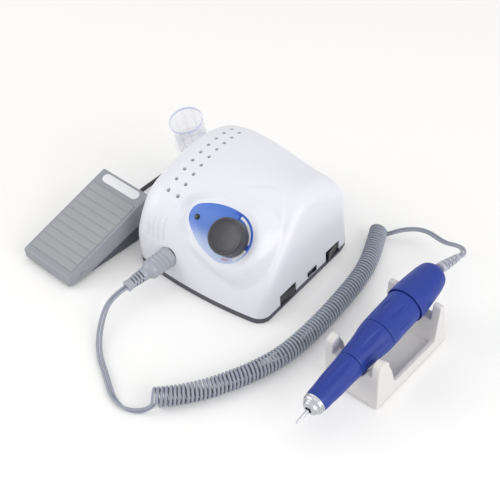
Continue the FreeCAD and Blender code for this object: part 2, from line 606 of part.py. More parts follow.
def handpiece():
    node("bur", turned("bur_turned", [
        ("0", "0"), ("0.7", "0.8"), ("8.6", "1.25"), ("9.4", "shank_radius"),
        ("40", "shank_radius"), ("40", "0")]), HAND)
    node("collet", turned("collet_turned", [
        ("14.2", "shank_radius"), ("14.2", "1.9"), ("16", "2.6"), ("40", "2.6"), ("40", "shank_radius")]), HAND)
    node("spindle", turned("spindle_turned", [
        ("17", "2.6"), ("17", "spindle_radius"), ("94", "spindle_radius"), ("94", "0"),
        ("40", "0"), ("40", "2.6")]), HAND)
    node("nose_cap", turned("nose_turned", [
        ("bur_exit", "2.6"), ("bur_exit", "4.2"), ("14.3", "5.85"), ("16.6", "6.4"), ("18", "8.2"),
        ("grip_front", "8.3"), ("grip_front", "6.2"), ("17", "4.2")]), HAND)
    bore = "spindle_radius + 0.06"
    races = [turned("race_%d" % at, [(str(at), bore), (str(at), "6.4"),
                                      ("%d" % (at + 5), "6.4"), ("%d" % (at + 5), bore)])
             for at in (24, 82)]
    node("spindle_bearings", group("races", *races), HAND)
    node("inner_barrel", turned("barrel_turned", [
        ("22", "6.4"), ("22", "7.2"), ("sleeve_front - 2", "barrel_radius"),
        ("sleeve_back + 3", "barrel_radius"), ("sleeve_back + 3", "6.4")]), HAND)
    node("front_grip", turned("grip_turned", [
        ("grip_front", "7.3"), ("grip_front", "8.4"), ("22", "8.65"), ("30", "9"), ("38", "9.7"),
        ("54", "10.25"), ("sleeve_front - seam_gap", "10.6"), ("sleeve_front - seam_gap", "7.95")]), HAND)
    node("lock_sleeve", turned("sleeve_turned", [
        ("sleeve_front", "8.15"), ("sleeve_front", "10.6"), ("66", "11"), ("74", "11.8"),
        ("82", "12.75"), ("90", "13.7"), ("sleeve_back - seam_gap", "13.85"),
        ("sleeve_back - seam_gap", "8.15")]), HAND)
    node("rear_housing", turned("housing_turned", [
        ("sleeve_back", "7.95"), ("sleeve_back", "13.85"), ("98", "13.9"), ("cap_front", "13.9"),
        ("cap_front + 14", "13.2"), ("cap_front + 14", "12.2"), ("sleeve_back + 4", "12.2"),
        ("sleeve_back + 4", "7.95")]), HAND)
    node("rear_cap", turned("cap_turned", [
        ("cap_front", "14.1"), ("cap_front", "14.9"), ("127.2", "15.1"), ("134", "14.9"),
        ("142", "14.35"), ("150", "13.55"), ("158", "12.65"), ("162", "11.7", "-9"),
        ("cap_end - 2", "6.9"), ("cap_end", "4.6"), ("cap_end", "3"), ("cap_end - 3", "3"),
        ("cap_end - 9", "9.8"), ("cap_front + 15", "12.8"), ("cap_front + 14.2", "13.4")]), HAND)
    node("motor_magnets", turned("magnets_turned", [
        ("100", "9.6"), ("100", "12.1"), ("132", "12.1"), ("132", "9.6")]), HAND)
    node("armature", turned("armature_turned", [
        ("94.2", "0"), ("94.2", "1.6"), ("101", "1.6"), ("101", "9.1"), ("130", "9.1"),
        ("130", "4.6"), ("138", "4.6"), ("138", "1.6"), ("149", "1.6"), ("149", "0")]), HAND)
    node("brush_holder", turned("brush_turned", [
        ("133", "5"), ("133", "11.8"), ("138.6", "11.8"), ("138.6", "5")]), HAND)
    node("rear_bearing", turned("rear_race", [
        ("144", "1.66"), ("144", "6"), ("148", "6"), ("148", "1.66")]), HAND)
    boot = turned("boot_turned", [
        ("-1.4", "0"), ("-1.4", "1.8"), ("3.8", "1.8"), ("3.8", "boot_root"), ("12", "boot_root - 0.2"),
        ("boot_length + 7", "boot_tip"), ("boot_length + 7", "0")])
    node("cord_boot", boot, HAND, BOOT)


def cradle():
    width = "cradle_width"
    side = padded("cradle_profile", "YZ_Plane", [
        ("0.8", "cradle_foot"), ("cradle_length - 0.4", "cradle_foot"), ("80.3", "44.1", "2.2"),
        ("78.4", "post_height"), ("post_front + 0.8", "post_height - 0.6"),
        ("post_front", "rail_height - 1"), ("27.5", "rail_height", "-9"), ("20", "17", "60"),
        ("11", "ear_height - 8", "7.5"), ("3.8", "ear_height", "5.5"), ("-1.6", "ear_height - 5")],
        width, True)
    inner = "(%s - 2 * cradle_wall)" % width
    well = middle_box("cradle_well", (inner, "post_front - cradle_wall - 3", 60),
                      (0, "(post_front + cradle_wall + 3) / 2", "cradle_foot + cradle_floor"))
    mouth = middle_box("cradle_mouth", ("cradle_width - 13", 30, 60), (0, 0, 33))
    rear = middle_box("cradle_rear_room", ("cradle_width - 14", 30, 60), (0, 88, 30))
    rest = cone("grip_rest", (10.9, 12.4), 20, (0, 0, 0))
    rest = put(rest, frame((0, "-10", "hand_z + 6.36")) + " * " + frame((0, 0, 0), (0, 0, "-90 + hand_rise")))
    back = cylinder("cap_rest", 15.7, 50, (0, 0, 0))
    back = put(back, frame((-0.1, 60, "hand_z + 14.76")) + " * " + frame((0, 0, 0), (0, 0, "-90 + hand_rise")))
    body = cut("cradle_body", side, well, mouth, rear, rest, back)
    node("cradle", body, CRADLE)
    strips = []
    for y in ("8", "cradle_length - 12"):
        strips.append(middle_box("cradle_strip_%s" % y[0], (34, 6, "cradle_foot"), (0, y, 0)))
    node("cradle_feet", group("strips", *strips), CRADLE)


def pedal():
    half = "pedal_width / 2"
    outer = padded("treadle_profile", "YZ_Plane", [
        ("0", "2.6"), ("pin_y + 4", "2.6"), ("pedal_length - 2", "heel_height - skirt - 6"),
        ("pedal_length", "heel_height - 1.2"), ("pedal_length - 1.2", "heel_height"),
        ("bend_y", "bend_height"), ("0.8", "nose_height"), ("-0.4", "nose_height - 1.2")],
        "pedal_width", True)
    wall = "treadle_wall"
    inner = padded("treadle_room", "YZ_Plane", [
        (wall, "-1"), ("pin_y + 4", "-1"), ("pedal_length - treadle_wall", "heel_height - skirt - 8"),
        ("pedal_length - treadle_wall", "heel_height - 3.4"), ("bend_y", "bend_height - 2.6"),
        (wall, "nose_height - 2.6")], "pedal_width - 2 * treadle_wall", True)
    hole = cylinder("treadle_pin_hole", "pin_radius + 0.05", 80, (-40, "pin_y", "pin_z"), "x")
    node("treadle", cut("treadle_body", outer, inner, hole), PEDAL)
    slope = "atan((bend_height - nose_height) / (bend_y - 0.8))"
    seat = frame((0, "0.8", "nose_height")) + " * " + frame((0, 0, 0), (0, 0, slope))
    mat = [middle_box("mat_sheet", ("pedal_width - 8", 76, "mat_thick"), (0, 42.6, 0))]
    for index in range(10):
        mat.append(middle_box("mat_rib_%d" % index, ("pedal_width - 9", 5.4, 0.5),
                              (0, "%g" % (9 + 7.4 * index), "mat_thick")))
    node("treadle_mat", fuse("mat_body", *mat), PEDAL, seat)
    heel = "atan((heel_height - bend_height) / (pedal_length - 1.2 - bend_y))"
    top = frame((0, "bend_y", "bend_height")) + " * " + frame((0, 0, 0), (0, 0, heel))
    bar = middle_box("label_bar", (34, 8.4, 0.6), (0, 7.4, 0))
    ends = [cylinder("label_end_%d" % side, 4.2, 0.6, ("%d" % (17 * side), 7.4, 0)) for side in (-1, 1)]
    node("label_plate", fuse("label_body", bar, *ends), PEDAL, top)
    base = padded("base_profile", "YZ_Plane", [
        ("4", "1"), ("pedal_length - 4", "1"), ("pedal_length - 4", "20"), ("60", "15"),
        ("pin_y + 8", "5.6"), ("pin_y + 4", "pin_z + 2.2"), ("pin_y - 4", "pin_z + 2.2"),
        ("4", "4.4")], "pedal_width - 2 * treadle_wall - 1", True)
    room = box("base_room", ("pedal_width - 2 * treadle_wall - 8", "pedal_length - 30", 30),
               ("-pedal_width / 2 + treadle_wall + 4", 22, 3.4))
    bore = cylinder("base_pin_hole", "pin_radius + 0.03", 80, (-40, "pin_y", "pin_z"), "x")
    opening = cylinder("gland_hole", 3.2, 12, ("gland_x", "pedal_length - 11", "gland_z"), "y")
    node("pedal_base", cut("base_body", base, room, bore, opening), PEDAL)
    feet = [middle_box("pedal_foot_%d" % y, (40, 8, 1), (0, y, 0)) for y in (12, 80)]
    node("pedal_feet", group("pedal_foot_pair", *feet), PEDAL)
    pin = cylinder("pin_rod", "pin_radius", "pedal_width", ("-" + half, "pin_y", "pin_z"), "x")
    node("hinge_pin", group("pin_piece", pin), PEDAL)
    switch = middle_box("switch_case", (12, 20, 9), (-10, 56, 3.4))
    button = middle_box("switch_button", (3, 5, 2), (-10, 60, 12.4))
    node("foot_switch", fuse("switch_body", switch, button), PEDAL)
    gland = cylinder("gland_piece", 3.2, 8, ("gland_x", "pedal_length - 9", "gland_z"), "y")
    node("cord_gland", group("gland", gland), PEDAL)


# Cords. Points are chosen by hand, in the control box's frame, and joined by
# straight runs with one tangent arc at each point between them.

PLUG_LEAD = [(-39.2, -120.4, 11.6), (-33.6, -133.6, 6.8), (-23.8, -147.4, 3.4), (-12, -158.6, 2.45),
             (3, -168.2, 2.45), (13.7, -175.8, 2.45), (21.3, -180.4, 2.45), (28.9, -182.8, 2.45),
             (35.9, -183, 2.45), (42.2, -180.6, 2.45)]
CURLY_ROUTE = [(47.2, -167.2), (65.7, -150.5), (85.8, -114.9), (98.5, -81.2), (101.6, -39.9),
               (100.3, 3.8), (97.6, 34), (90.8, 58.6), (79.8, 85.8)]
TAIL_START = (88.5, 88, 5.7)
TAIL = [(94.6, 90.4, 10.2), (102.5, 95.6, 13), (111.6, 99.4, 14.6), (122, 97.6, 17), (132, 91.9, 20),
        (141, 87.6, 23.4), (149.5, 85.2, 27.8), (157.2, 80.2, 32.6), (162.4, 73, 36.2)]
PEDAL_CORD = [(-113.4, -6.5, 8.4), (-115.4, 4, 7.2), (-117.4, 15, 4.9), (-118.8, 27, 2.7),
              (-119.3, 40, 2.05), (-117.6, 53, 2.05), (-112.5, 65, 2.05), (-104, 74.5, 2.05),
              (-94.2, 81.6, 2.05)]
JACK_CORD = [(-18.5, 104, 7.4), (-6, 103.2, 9.2), (2.2, 97.4, 11.2)]


def shifted(point):
    return Vector(*point) + Vector(value("shift_x"), value("shift_y"), 0)


def rounded_route(name, points):
    """Straight runs joined by arcs as large as the two runs at a point allow."""
    edges = []
    start = points[0]
    radii = []
    for before, corner, after in zip(points, points[1:], points[2:]):
        arriving = (corner - before).normalize()
        leaving = (after - corner).normalize()
        turn = arriving.getAngle(leaving)
        setback = 0.45 * min((corner - before).Length, (after - corner).Length)
        radius = setback / math.tan(turn / 2)
        first = corner - arriving * setback
        last = corner + leaving * setback
        inward = (leaving - arriving).normalize()
        middle = corner + inward * (radius / math.cos(turn / 2) - radius)
        edges.append(Part.LineSegment(start, first).toShape())
        edges.append(Part.Arc(first, middle, last).toShape())
        radii.append("%.0f" % radius)
        start = last
    edges.append(Part.LineSegment(start, points[-1]).toShape())
    print(name, "radii", " ".join(radii))
    return edges


def tube(name, edges, radius):
    """One round tube along a path of lines and arcs."""
    path = Part.Wire(edges)
    first = edges[0]
    circle = Part.Circle(first.valueAt(first.FirstParameter), first.tangentAt(first.FirstParameter), radius)
    solid = path.makePipeShell([Part.Wire([circle.toShape()])], True, False)
    expected = math.pi * radius ** 2 * path.Length
    print(name, "length %.1f, volume %.1f, section times length %.1f" % (path.Length, solid.Volume, expected))
    return solid


def cord(label, *solids):
    item = doc.addObject("Part::Feature", label)
    item.Shape = solids[0] if len(solids) == 1 else Part.makeCompound(solids)
    item.Label = label
    NODES.append(item)


def biarc(start, heading, end, leaving):
    """Two arcs that leave along one direction and arrive along the other."""
    chord = end - start
    both = heading + leaving
    spread = 2 * (1 - heading.dot(leaving))
    along = chord.dot(both)
    reach = chord.dot(chord)
    if spread < 1e-9:
        return [Part.LineSegment(start, end).toShape()]
    size = (-along + math.sqrt(along ** 2 + spread * reach)) / spread
    meet = (start + heading * size + end - leaving * size) / 2
    return [arc_from(start, heading, meet), arc_from(meet, None, end, leaving)]


def arc_from(start, heading, end, leaving=None):
    """An arc between two points that is tangent to a direction at one end."""
    chord = end - start
    tangent = heading if heading is not None else leaving
    if tangent.cross(chord).Length < 1e-7 * chord.Length:
        return Part.LineSegment(start, end).toShape()
    sign = 1 if heading is not None else -1
    plane = tangent.cross(chord) * sign
    spoke = plane.cross(tangent).normalize()
    radius = chord.dot(chord) / (2 * abs(chord.dot(spoke)))
    origin = start if heading is not None else end
    spoke = spoke * sign if chord.dot(spoke * sign) > 0 else spoke * -sign
    centre = origin + spoke * radius * (1 if heading is not None else -1)
    halfway = centre + ((start + end) / 2 - centre).normalize() * radius
    return Part.Arc(start, halfway, end).toShape()


def winding(place, turns_per_step, steps):
    """Biarcs through a curve at even steps; place gives a point for an angle."""
    nudge = 1e-4

    def heading(angle):
        return (place(angle + nudge) - place(angle - nudge)).normalize()

    step = 2 * math.pi * turns_per_step
    edges = []
    for index in range(steps):
        low, high = step * index, step * (index + 1)
        edges += biarc(place(low), heading(low), place(high), heading(high))
    return edges, heading(0), heading(step * steps)


def least_gap(name, paths, radius, turn_length):
    """The least gap between a tube's turns, and between two tubes, on points."""
    spots = []
    for path in paths:
        wire = Part.Wire(path)
        count = int(wire.Length / 1.5)
        spots.append([(index * wire.Length / count, spot) for index, spot in
                      enumerate(wire.discretize(Number=count + 1))])
    least = 1e9
    place = None
    for first in range(len(spots)):
        for second in range(first, len(spots)):
            for along, spot in spots[first]:
                for other, rival in spots[second]:
                    apart = abs(along - other)
                    if first == second and apart < turn_length / 2:
                        continue
                    if apart > turn_length * 2.5:
                        continue
                    if (spot - rival).Length < least:
                        least = (spot - rival).Length
                        place = spot
    print(name, "least gap %.2f near" % (least - 2 * radius), place)


def along_route(edges, distance):
    """Point and direction at a distance along a path."""
    for edge in edges:
        if distance <= edge.Length or edge is edges[-1]:
            where = edge.getParameterByLength(max(0, min(distance, edge.Length)))
            extra = distance - min(distance, edge.Length) if distance > 0 else distance
            direction = edge.tangentAt(where)
            return edge.valueAt(where) + direction * extra, direction
        distance -= edge.Length


def curl_route():
    return [shifted((x, y, value("curl_height"))) for x, y in CURLY_ROUTE]


def lead_meets_curls():
    """Where the lead stops, so that both strands rise in arcs about one centre."""
    start, following = curl_route()[:2]
    along = (following - start).normalize()
    front = Vector(along.y, -along.x, 0)
    spacing = value("2 * strand_radius + strand_gap")
    rise = value("curl_height - lead_radius") - spacing / 2
    point = start + front * value("curl_radius") - along * (rise + value("2 * strand_radius"))
    return Vector(point.x, point.y, value("lead_radius")), along


def curly_cord(lead_end, lead_heading, tail_heading):
    """Two strands side by side, from the plain lead to the tail."""
    route = rounded_route("curly route", curl_route())
    length = sum(edge.Length for edge in route)
    radius = value("strand_radius")
    spacing = 2 * radius + value("strand_gap")
    turns = value("curl_turns")
    step = value("curl_step")
    pitch = (length - step) / (turns - 0.25)
    up = Vector(0, 0, 1)
    tail_start = shifted(TAIL_START)
    paths = []
    for index, side in ((0, 1), (1, -1)):
        def place(angle, offset=index * step):
            centre, along = along_route(route, offset + pitch * angle / (2 * math.pi))
            front = Vector(along.y, -along.x, 0).normalize()
            arm = front * math.cos(angle) + up * math.sin(angle)
            return centre + arm * value("curl_radius")

        turned_edges, leaving, arriving = winding(place, 0.25, int(4 * turns) - 1)
        start = lead_end + up * side * spacing / 2
        straight = start + lead_heading * 2 * radius
        path = [Part.LineSegment(start, straight).toShape()]
        path += biarc(straight, lead_heading, place(0), leaving)
        path += turned_edges
        across = tail_heading.cross(up).normalize() * side * spacing / 2
        finish = tail_start + across
        before = finish - tail_heading * 2 * radius
        last = place(2 * math.pi * (turns - 0.25))
        path += biarc(last, arriving, before, tail_heading)
        path.append(Part.LineSegment(before, finish).toShape())
        paths.append(path)
    least_gap("curly_cord", paths, radius, 2 * math.pi * value("curl_radius"))
    cord("curly_cord", *[tube("curly strand", path, radius) for path in paths])


def pedal_coil():
    """Two layers: the spiral runs in on the floor, climbs, and runs out on top."""
    radius = value("pedal_cord_radius")
    step = 2 * radius + value("coil_gap")
    turns = value("coil_turns")
    centre = shifted((value("coil_x"), value("coil_y"), radius + 0.05))
    outer = value("coil_inner") + step * turns
    reverse = turns + 0.25

    def place(angle):
        passed = angle / (2 * math.pi)
        climb = min(max((passed - turns) / 0.5, 0), 1)
        reach = outer - step * reverse + step * abs(passed - reverse)
        spin = math.radians(150) - angle
        arm = Vector(math.cos(spin), math.sin(spin), 0)
        return centre + arm * reach + Vector(0, 0, step * (3 - 2 * climb) * climb ** 2)

    steps = int(4 * (2 * turns + 0.25))
    edges, leaving, arriving = winding(place, 0.25, steps)
    start, finish = place(0), place(math.pi * steps / 2)
    first = start - leaving * 2 * radius
    last = finish + arriving * 2 * radius
    path = [Part.LineSegment(first, start).toShape()] + edges
    path.append(Part.LineSegment(finish, last).toShape())
    least_gap("pedal_cord_coil", [path], radius, 2 * math.pi * value("coil_inner"))
    cord("pedal_cord_coil", tube("pedal_cord_coil", path, radius))
    return first, leaving, last, arriving


def point_in(frames, at, heading):
    """A point and a direction of one unit's frame, in the object's frame."""
    placement = doc.dims.evalExpression(" * ".join([SHIFT, *frames]))
    return placement.multVec(Vector(*at)), placement.Rotation.multVec(Vector(*heading))


def jack_plug():
    at = ("jack_x", "rear_line + 1", "jack_z")
    body = cylinder("jack_grip", 4.6, 16, at, "y")
    neck = cone("jack_neck", (3.4, 2.4), 8, ("jack_x", "rear_line + 17", "jack_z"), "y")
    tip = cylinder("jack_tip", "jack_radius", 12, ("jack_x", "rear_line - 11", "jack_z"), "y")
    node("pedal_jack_plug", fuse("jack_plug_body", body, neck, tip))


def cords():
    end, away = point_in([PLUG], (value("plug_length"), 0, 0), (1, 0, 0))
    lead_end, lead_heading = lead_meets_curls()
    points = [end, end + away * 9] + [shifted(point) for point in PLUG_LEAD] + [lead_end]
    cord("plug_lead", tube("plug_lead", rounded_route("plug_lead", points), value("lead_radius")))
    end, away = point_in([HAND, BOOT], (value("boot_length + 7"), 0, 0), (1, 0, 0))
    points = [shifted(point) for point in [TAIL_START] + TAIL] + [end + away * 7, end]
    tail_heading = (points[1] - points[0]).normalize()
    cord("handpiece_tail", tube("handpiece_tail", rounded_route("handpiece_tail", points),
                                value("lead_radius")))
    curly_cord(lead_end, lead_heading, tail_heading)
    start, leaving, finish, arriving = pedal_coil()
    radius = value("pedal_cord_radius")
    end, away = point_in([PEDAL], (value("gland_x"), value("pedal_length - 1"), value("gland_z")), (0, 1, 0))
    points = [end, end + away * 8] + [shifted(point) for point in PEDAL_CORD] + [start - leaving * 10, start]
    cord("pedal_cord", tube("pedal_cord", rounded_route("pedal_cord", points), radius))
    neck = shifted((value("jack_x"), value("rear_line") + 25, value("jack_z")))
    points = [finish, finish + arriving * 8] + [shifted(point) for point in JACK_CORD]
    points += [neck + Vector(0, 8.5, 0), neck]
    cord("jack_cord", tube("jack_cord", rounded_route("jack_cord", points), radius))


form = control_box_form()
console_shell(form)
console_base(form)
dial()
rocker_switch("power", "power_y", "power_length", "-rocker_tilt")
rocker_switch("direction", "direction_y", "direction_length", "rocker_tilt")
slide_switch()
rear_fittings()
electronics()
handpiece_socket_and_plug()
cup_and_holder(form)
handpiece()
cradle()
pedal()
jack_plug()
cords()

doc.recompute()
for item in doc.Objects:
    if "Invalid" in item.State or "Error" in item.State:
        raise RuntimeError("%s failed: %s" % (item.Label, item.State))
for item in NODES:
    if item.Shape.isNull() or not item.Shape.isValid():
        raise RuntimeError("%s has no valid shape" % item.Label)
whole = FreeCAD.BoundBox()
for item in NODES:
    whole.add(item.Shape.BoundBox)
    item.Shape.exportStep("parts/%s.step" % item.Label)
    print(item.Label, len(item.Shape.Solids), "solids, volume %.1f" % item.Shape.Volume)
print("whole object without cords", whole)
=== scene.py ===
# %% [markdown]
# # Nail drill machine
# A control box with a dial stands between a foot pedal and a drill handpiece that
# lies in its cradle. The solids come from the part's own model, and this lesson
# dresses them. Lengths are typed in millimetres and turned into metres by MM,
# because a maker reads such a machine in millimetres.

# %% Load the frame
import math
import random

import bmesh
import bpy
import numpy as np
from mathutils import Matrix, Vector


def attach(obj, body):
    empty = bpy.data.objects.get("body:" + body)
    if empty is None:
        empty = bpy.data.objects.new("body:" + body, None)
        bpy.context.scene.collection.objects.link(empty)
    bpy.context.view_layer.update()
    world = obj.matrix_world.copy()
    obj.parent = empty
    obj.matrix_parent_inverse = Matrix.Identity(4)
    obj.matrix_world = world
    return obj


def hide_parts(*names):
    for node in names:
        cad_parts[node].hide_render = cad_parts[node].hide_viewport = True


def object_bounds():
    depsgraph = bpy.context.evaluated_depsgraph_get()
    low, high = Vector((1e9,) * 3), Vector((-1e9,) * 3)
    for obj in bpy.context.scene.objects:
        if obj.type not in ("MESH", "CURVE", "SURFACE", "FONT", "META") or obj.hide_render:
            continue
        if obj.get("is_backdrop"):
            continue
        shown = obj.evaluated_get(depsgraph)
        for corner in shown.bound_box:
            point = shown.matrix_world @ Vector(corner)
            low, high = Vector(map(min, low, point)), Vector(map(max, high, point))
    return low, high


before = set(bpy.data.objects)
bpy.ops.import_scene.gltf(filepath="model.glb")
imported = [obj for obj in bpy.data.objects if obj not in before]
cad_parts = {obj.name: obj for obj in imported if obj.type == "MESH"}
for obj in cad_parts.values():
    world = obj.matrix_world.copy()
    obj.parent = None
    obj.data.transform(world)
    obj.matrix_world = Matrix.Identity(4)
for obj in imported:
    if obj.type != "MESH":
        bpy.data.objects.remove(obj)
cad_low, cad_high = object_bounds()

MM = 0.001
TO_MM = 1000.0
random.seed(7)

# %% [markdown]
# ## Where each unit sits
# Each unit was drawn about its own origin: the dial about the knob's centre, the
# handpiece along its own axis. A matrix per unit carries its points to the shared
# frame. Typing every point in the shared frame would work too, but then no number
# could be read off the unit itself.

# %% Seats of the units
# The handpiece rises towards its cord, and its strain relief droops from there.
HAND_TILT = 6.85
BOOT_DROOP = 16


def seat(point, yaw=0, pitch=0, roll=0):
    """A matrix from a unit's millimetres to the shared frame's millimetres."""
    turn = (Matrix.Rotation(math.radians(yaw), 4, "Z")
            @ Matrix.Rotation(math.radians(pitch), 4, "Y")
            @ Matrix.Rotation(math.radians(roll), 4, "X"))
    return Matrix.Translation(Vector(point)) @ turn


BOX = seat((-22.6, 38.15, 0))
DIAL_IN_BOX = seat((22.8, -41.9, 56.5), roll=43.8)
DIAL = BOX @ DIAL_IN_BOX
PLUG = BOX @ seat((-28.2, -60.6, 23.4), yaw=-102.4, pitch=10.3)
CUP = BOX @ seat((-82, 50.2, 18), roll=16.9)
HAND = BOX @ seat((150.8, -138.2, 28.8), yaw=86.52, pitch=-HAND_TILT)
BOOT = HAND @ seat((168.5, 0, 0), pitch=HAND_TILT + BOOT_DROOP)
PEDAL = BOX @ seat((-110.3, -116.1, 0), yaw=-4.83)


def metres(unit, points):
    """A unit's points as points of the shared frame, in metres."""
    return [(unit @ Vector(point)) * MM for point in points]


print("handpiece axis:", [round(x, 4) for x in HAND.col[0][:3]])

# %% [markdown]
# ## Camera
# A studio camera with a long lens stood 0.84 m away and looked down by 42 degrees.
# Its place was worked out from straight edges of the control box, so that the
# render can be laid over the photograph. Guessing by eye would do for a mood, but
# not for checking proportions.

# %% Camera
def stand(name, data):
    """A new object of the scene that shows this data."""
    item = bpy.data.objects.new(name, data)
    bpy.context.scene.collection.objects.link(item)
    return item


def look(item, place, aim):
    """Move a camera or a lamp to a place and turn it towards a point."""
    item.location = place
    item.rotation_euler = (Vector(aim) - Vector(place)).to_track_quat("-Z", "Y").to_euler()


camera_data = bpy.data.cameras.new("studio_camera")
camera_data.lens = 72
camera_data.sensor_width = 36
camera_data.clip_start = 0.05
camera = stand("studio_camera", camera_data)
eye = BOX @ Vector((376.91, -489.0, 560.73)) * MM
look(camera, eye, BOX @ Vector((3.54, 6.19, 0)) * MM)
bpy.context.scene.camera = camera
bpy.context.scene.view_settings.view_transform = "Standard"
print("camera stands at", [round(x, 3) for x in eye])

# %% [markdown]
# ## Cords: one smooth line through a few points
# A cord keeps its length and bends in wide arcs. A NURBS curve of order 3 does the
# same: it runs smoothly past its points and never overshoots, where a Bezier curve
# needs handles that are hard to keep even. The round section is the curve's bevel.

# %% Cord helpers
def nurbs(name, points, radius=0.0, steps=4):
    """A curve object along control points given in shared millimetres."""
    data = bpy.data.curves.new(name, "CURVE")
    data.dimensions = "3D"
    spline = data.splines.new("NURBS")
    spline.points.add(len(points) - 1)
    for spot, point in zip(spline.points, points):
        spot.co = (*(Vector(point) * MM), 1)
    spline.order_u = 3
    spline.use_endpoint_u = True
    spline.resolution_u = steps
    data.bevel_depth = radius * MM
    data.bevel_resolution = 4
    data.use_fill_caps = True
    return stand(name, data)


def read_line(points):
    """Closely spaced points of the NURBS line itself, in millimetres."""
    guide = nurbs("guide", points, steps=24)
    mesh = bpy.data.meshes.new_from_object(guide)
    line = [spot.co / MM for spot in mesh.vertices]
    bpy.data.meshes.remove(mesh)
    bpy.data.objects.remove(guide)
    return line


class Line:
    """A line that can be asked for the point at a distance along it."""

    def __init__(self, points):
        self.spots = read_line(points)
        self.marks = [0.0]
        for first, second in zip(self.spots, self.spots[1:]):
            self.marks.append(self.marks[-1] + (second - first).length)
        self.length = self.marks[-1]

    def at(self, distance):
        """Point and direction; past either end the line goes straight on."""
        last = len(self.spots) - 2
        index = int(np.searchsorted(self.marks, distance)) - 1
        index = min(max(index, 0), last)
        start, end = self.spots[index], self.spots[index + 1]
        along = (end - start).normalized()
        return start + along * (distance - self.marks[index]), along


UP = Vector((0, 0, 1))
TURN_POINTS = 12
# A turn of an order 3 line runs inside its control points; they stand out by this.
TURN_REACH = 1 / (0.75 + 0.25 * math.cos(2 * math.pi / TURN_POINTS))

# %% [markdown]
# ## The curly cord
# The handpiece's cord is a twin lead. Its two strands lie side by side, leave the
# plug as a plain lead, are wound into 44 close turns that were set with heat, and
# end in a plain tail. Each strand is one unbroken line here, as in the real cord.
# A single flattened helix would be quicker, but the groove between the strands and
# the open first turn would be lost.

# %% Route of the curly cord
# PAIR is the distance between the strands' centres, PAIR_HEIGHT the level of an
# upright pair on the floor. The wobble moves a turn along the curl, and inwards.
STRAND_RADIUS = 1.1
PAIR = 2.66
PAIR_HEIGHT = 2.44
CURL_RADIUS = 6.65
CURL_STEP = 2.98
CURL_TURNS = 44
WOUND_TURNS = CURL_TURNS - 0.25
CURL_HEIGHT = 7.77
STRAY_ALONG, STRAY_INWARD = 0.25, 0.012
plug_end = PLUG @ Vector((41.6, 0, 0))
plug_away = PLUG.to_3x3() @ Vector((1, 0, 0))
boot_end = BOOT @ Vector((33, 0, 0))
boot_away = BOOT.to_3x3() @ Vector((1, 0, 0))

LEAD = [(-39.2, -120.4, 11.6), (-33.6, -133.6, 6.8), (-23.8, -147.4, 3.4),
        (-12, -158.6, 2.45), (3, -168.2, 2.45), (13.7, -175.8, 2.45),
        (21.3, -180.4, 2.45), (28.9, -182.8, 2.45), (35.9, -183, 2.45),
        (42.2, -180.6, 2.45)]
CURLY = [(47.2, -167.2), (65.7, -150.5), (85.8, -114.9), (98.5, -81.2), (101.6, -39.9),
         (100.3, 3.8), (97.6, 34), (90.8, 58.6), (79.8, 85.8)]
TAIL = [(88.5, 88, 5.7), (94.6, 90.4, 10.2), (102.5, 95.6, 13), (111.6, 99.4, 14.6),
        (122, 97.6, 17), (132, 91.9, 20), (141, 87.6, 23.4), (149.5, 85.2, 27.8),
        (157.2, 80.2, 32.6), (162.4, 73, 36.2)]

curl_line = Line([BOX @ Vector((x, y, CURL_HEIGHT)) for x, y in CURLY])
pitch = (curl_line.length - CURL_STEP) / WOUND_TURNS
curl_start, curl_along = curl_line.at(0)
curl_front = Vector((curl_along.y, -curl_along.x, 0))
rise = CURL_HEIGHT - PAIR_HEIGHT - PAIR / 2
lead_end = curl_start + curl_front * CURL_RADIUS - curl_along * (rise + 2 * STRAND_RADIUS)
lead_end.z = PAIR_HEIGHT
print("curly length %.0f mm, one pair every %.2f mm" % (curl_line.length, pitch))


def beside(points, side, lean):
    """Control points moved to one side of a route; lean turns flat (0) to upright (1)."""
    moved = []
    for index, point in enumerate(points):
        before, after = points[max(index - 1, 0)], points[min(index + 1, len(points) - 1)]
        along = (after - before).normalized()
        flat = along.cross(UP).normalized()
        upright = flat.cross(along).normalized()
        blend = lean(index)
        across = (flat * math.cos(blend * math.pi / 2)
                  + upright * math.sin(blend * math.pi / 2))
        moved.append(point + across * side * PAIR / 2)
    return moved


wobble = [random.uniform(-1, 1) for _ in range(CURL_TURNS + 2)]


def curl_points(offset):
    """Control points of one strand's turns; both strands share each turn's wobble."""
    points = []
    for index in range(int(TURN_POINTS * WOUND_TURNS) + 1):
        turn = index / TURN_POINTS
        angle = 2 * math.pi * turn
        whole, part = divmod(turn, 1)
        drift = wobble[int(whole)] * (1 - part) + wobble[int(whole) + 1] * part
        centre, along = curl_line.at(offset + pitch * turn + STRAY_ALONG * drift)
        front = Vector((along.y, -along.x, 0)).normalized()
        reach = CURL_RADIUS * TURN_REACH * (1 - STRAY_INWARD * abs(drift))
        arm = front * math.cos(angle) + UP * math.sin(angle)
        points.append(centre + arm * reach)
    return points


lead_route = [plug_end - plug_away * 5, plug_end + plug_away * 2, plug_end + plug_away * 9]
lead_route += [BOX @ Vector(point) for point in LEAD]
lead_route += [lead_end]
tail_route = [BOX @ Vector(point) for point in TAIL]
tail_route += [boot_end + boot_away * 7, boot_end + boot_away * 1, boot_end - boot_away * 5]


def clamp(value):
    """The number itself, kept between 0 and 1."""
    return min(max(value, 0.0), 1.0)


def lead_lean(index):
    """The pair lies flat and stands up before the first turn, where the winding needs it."""
    return clamp((index - len(lead_route) + 6) / 4)


strands = []
for name, side, offset in (("curly_strand_upper", 1, 0), ("curly_strand_lower", -1, CURL_STEP)):
    points = beside(lead_route, side, lead_lean)
    points += curl_points(offset)
    points += beside(tail_route, side, lambda _: 0)
    strands.append(nurbs(name, points[::-1], STRAND_RADIUS, steps=3))
    print(name, "has", len(points), "control points")

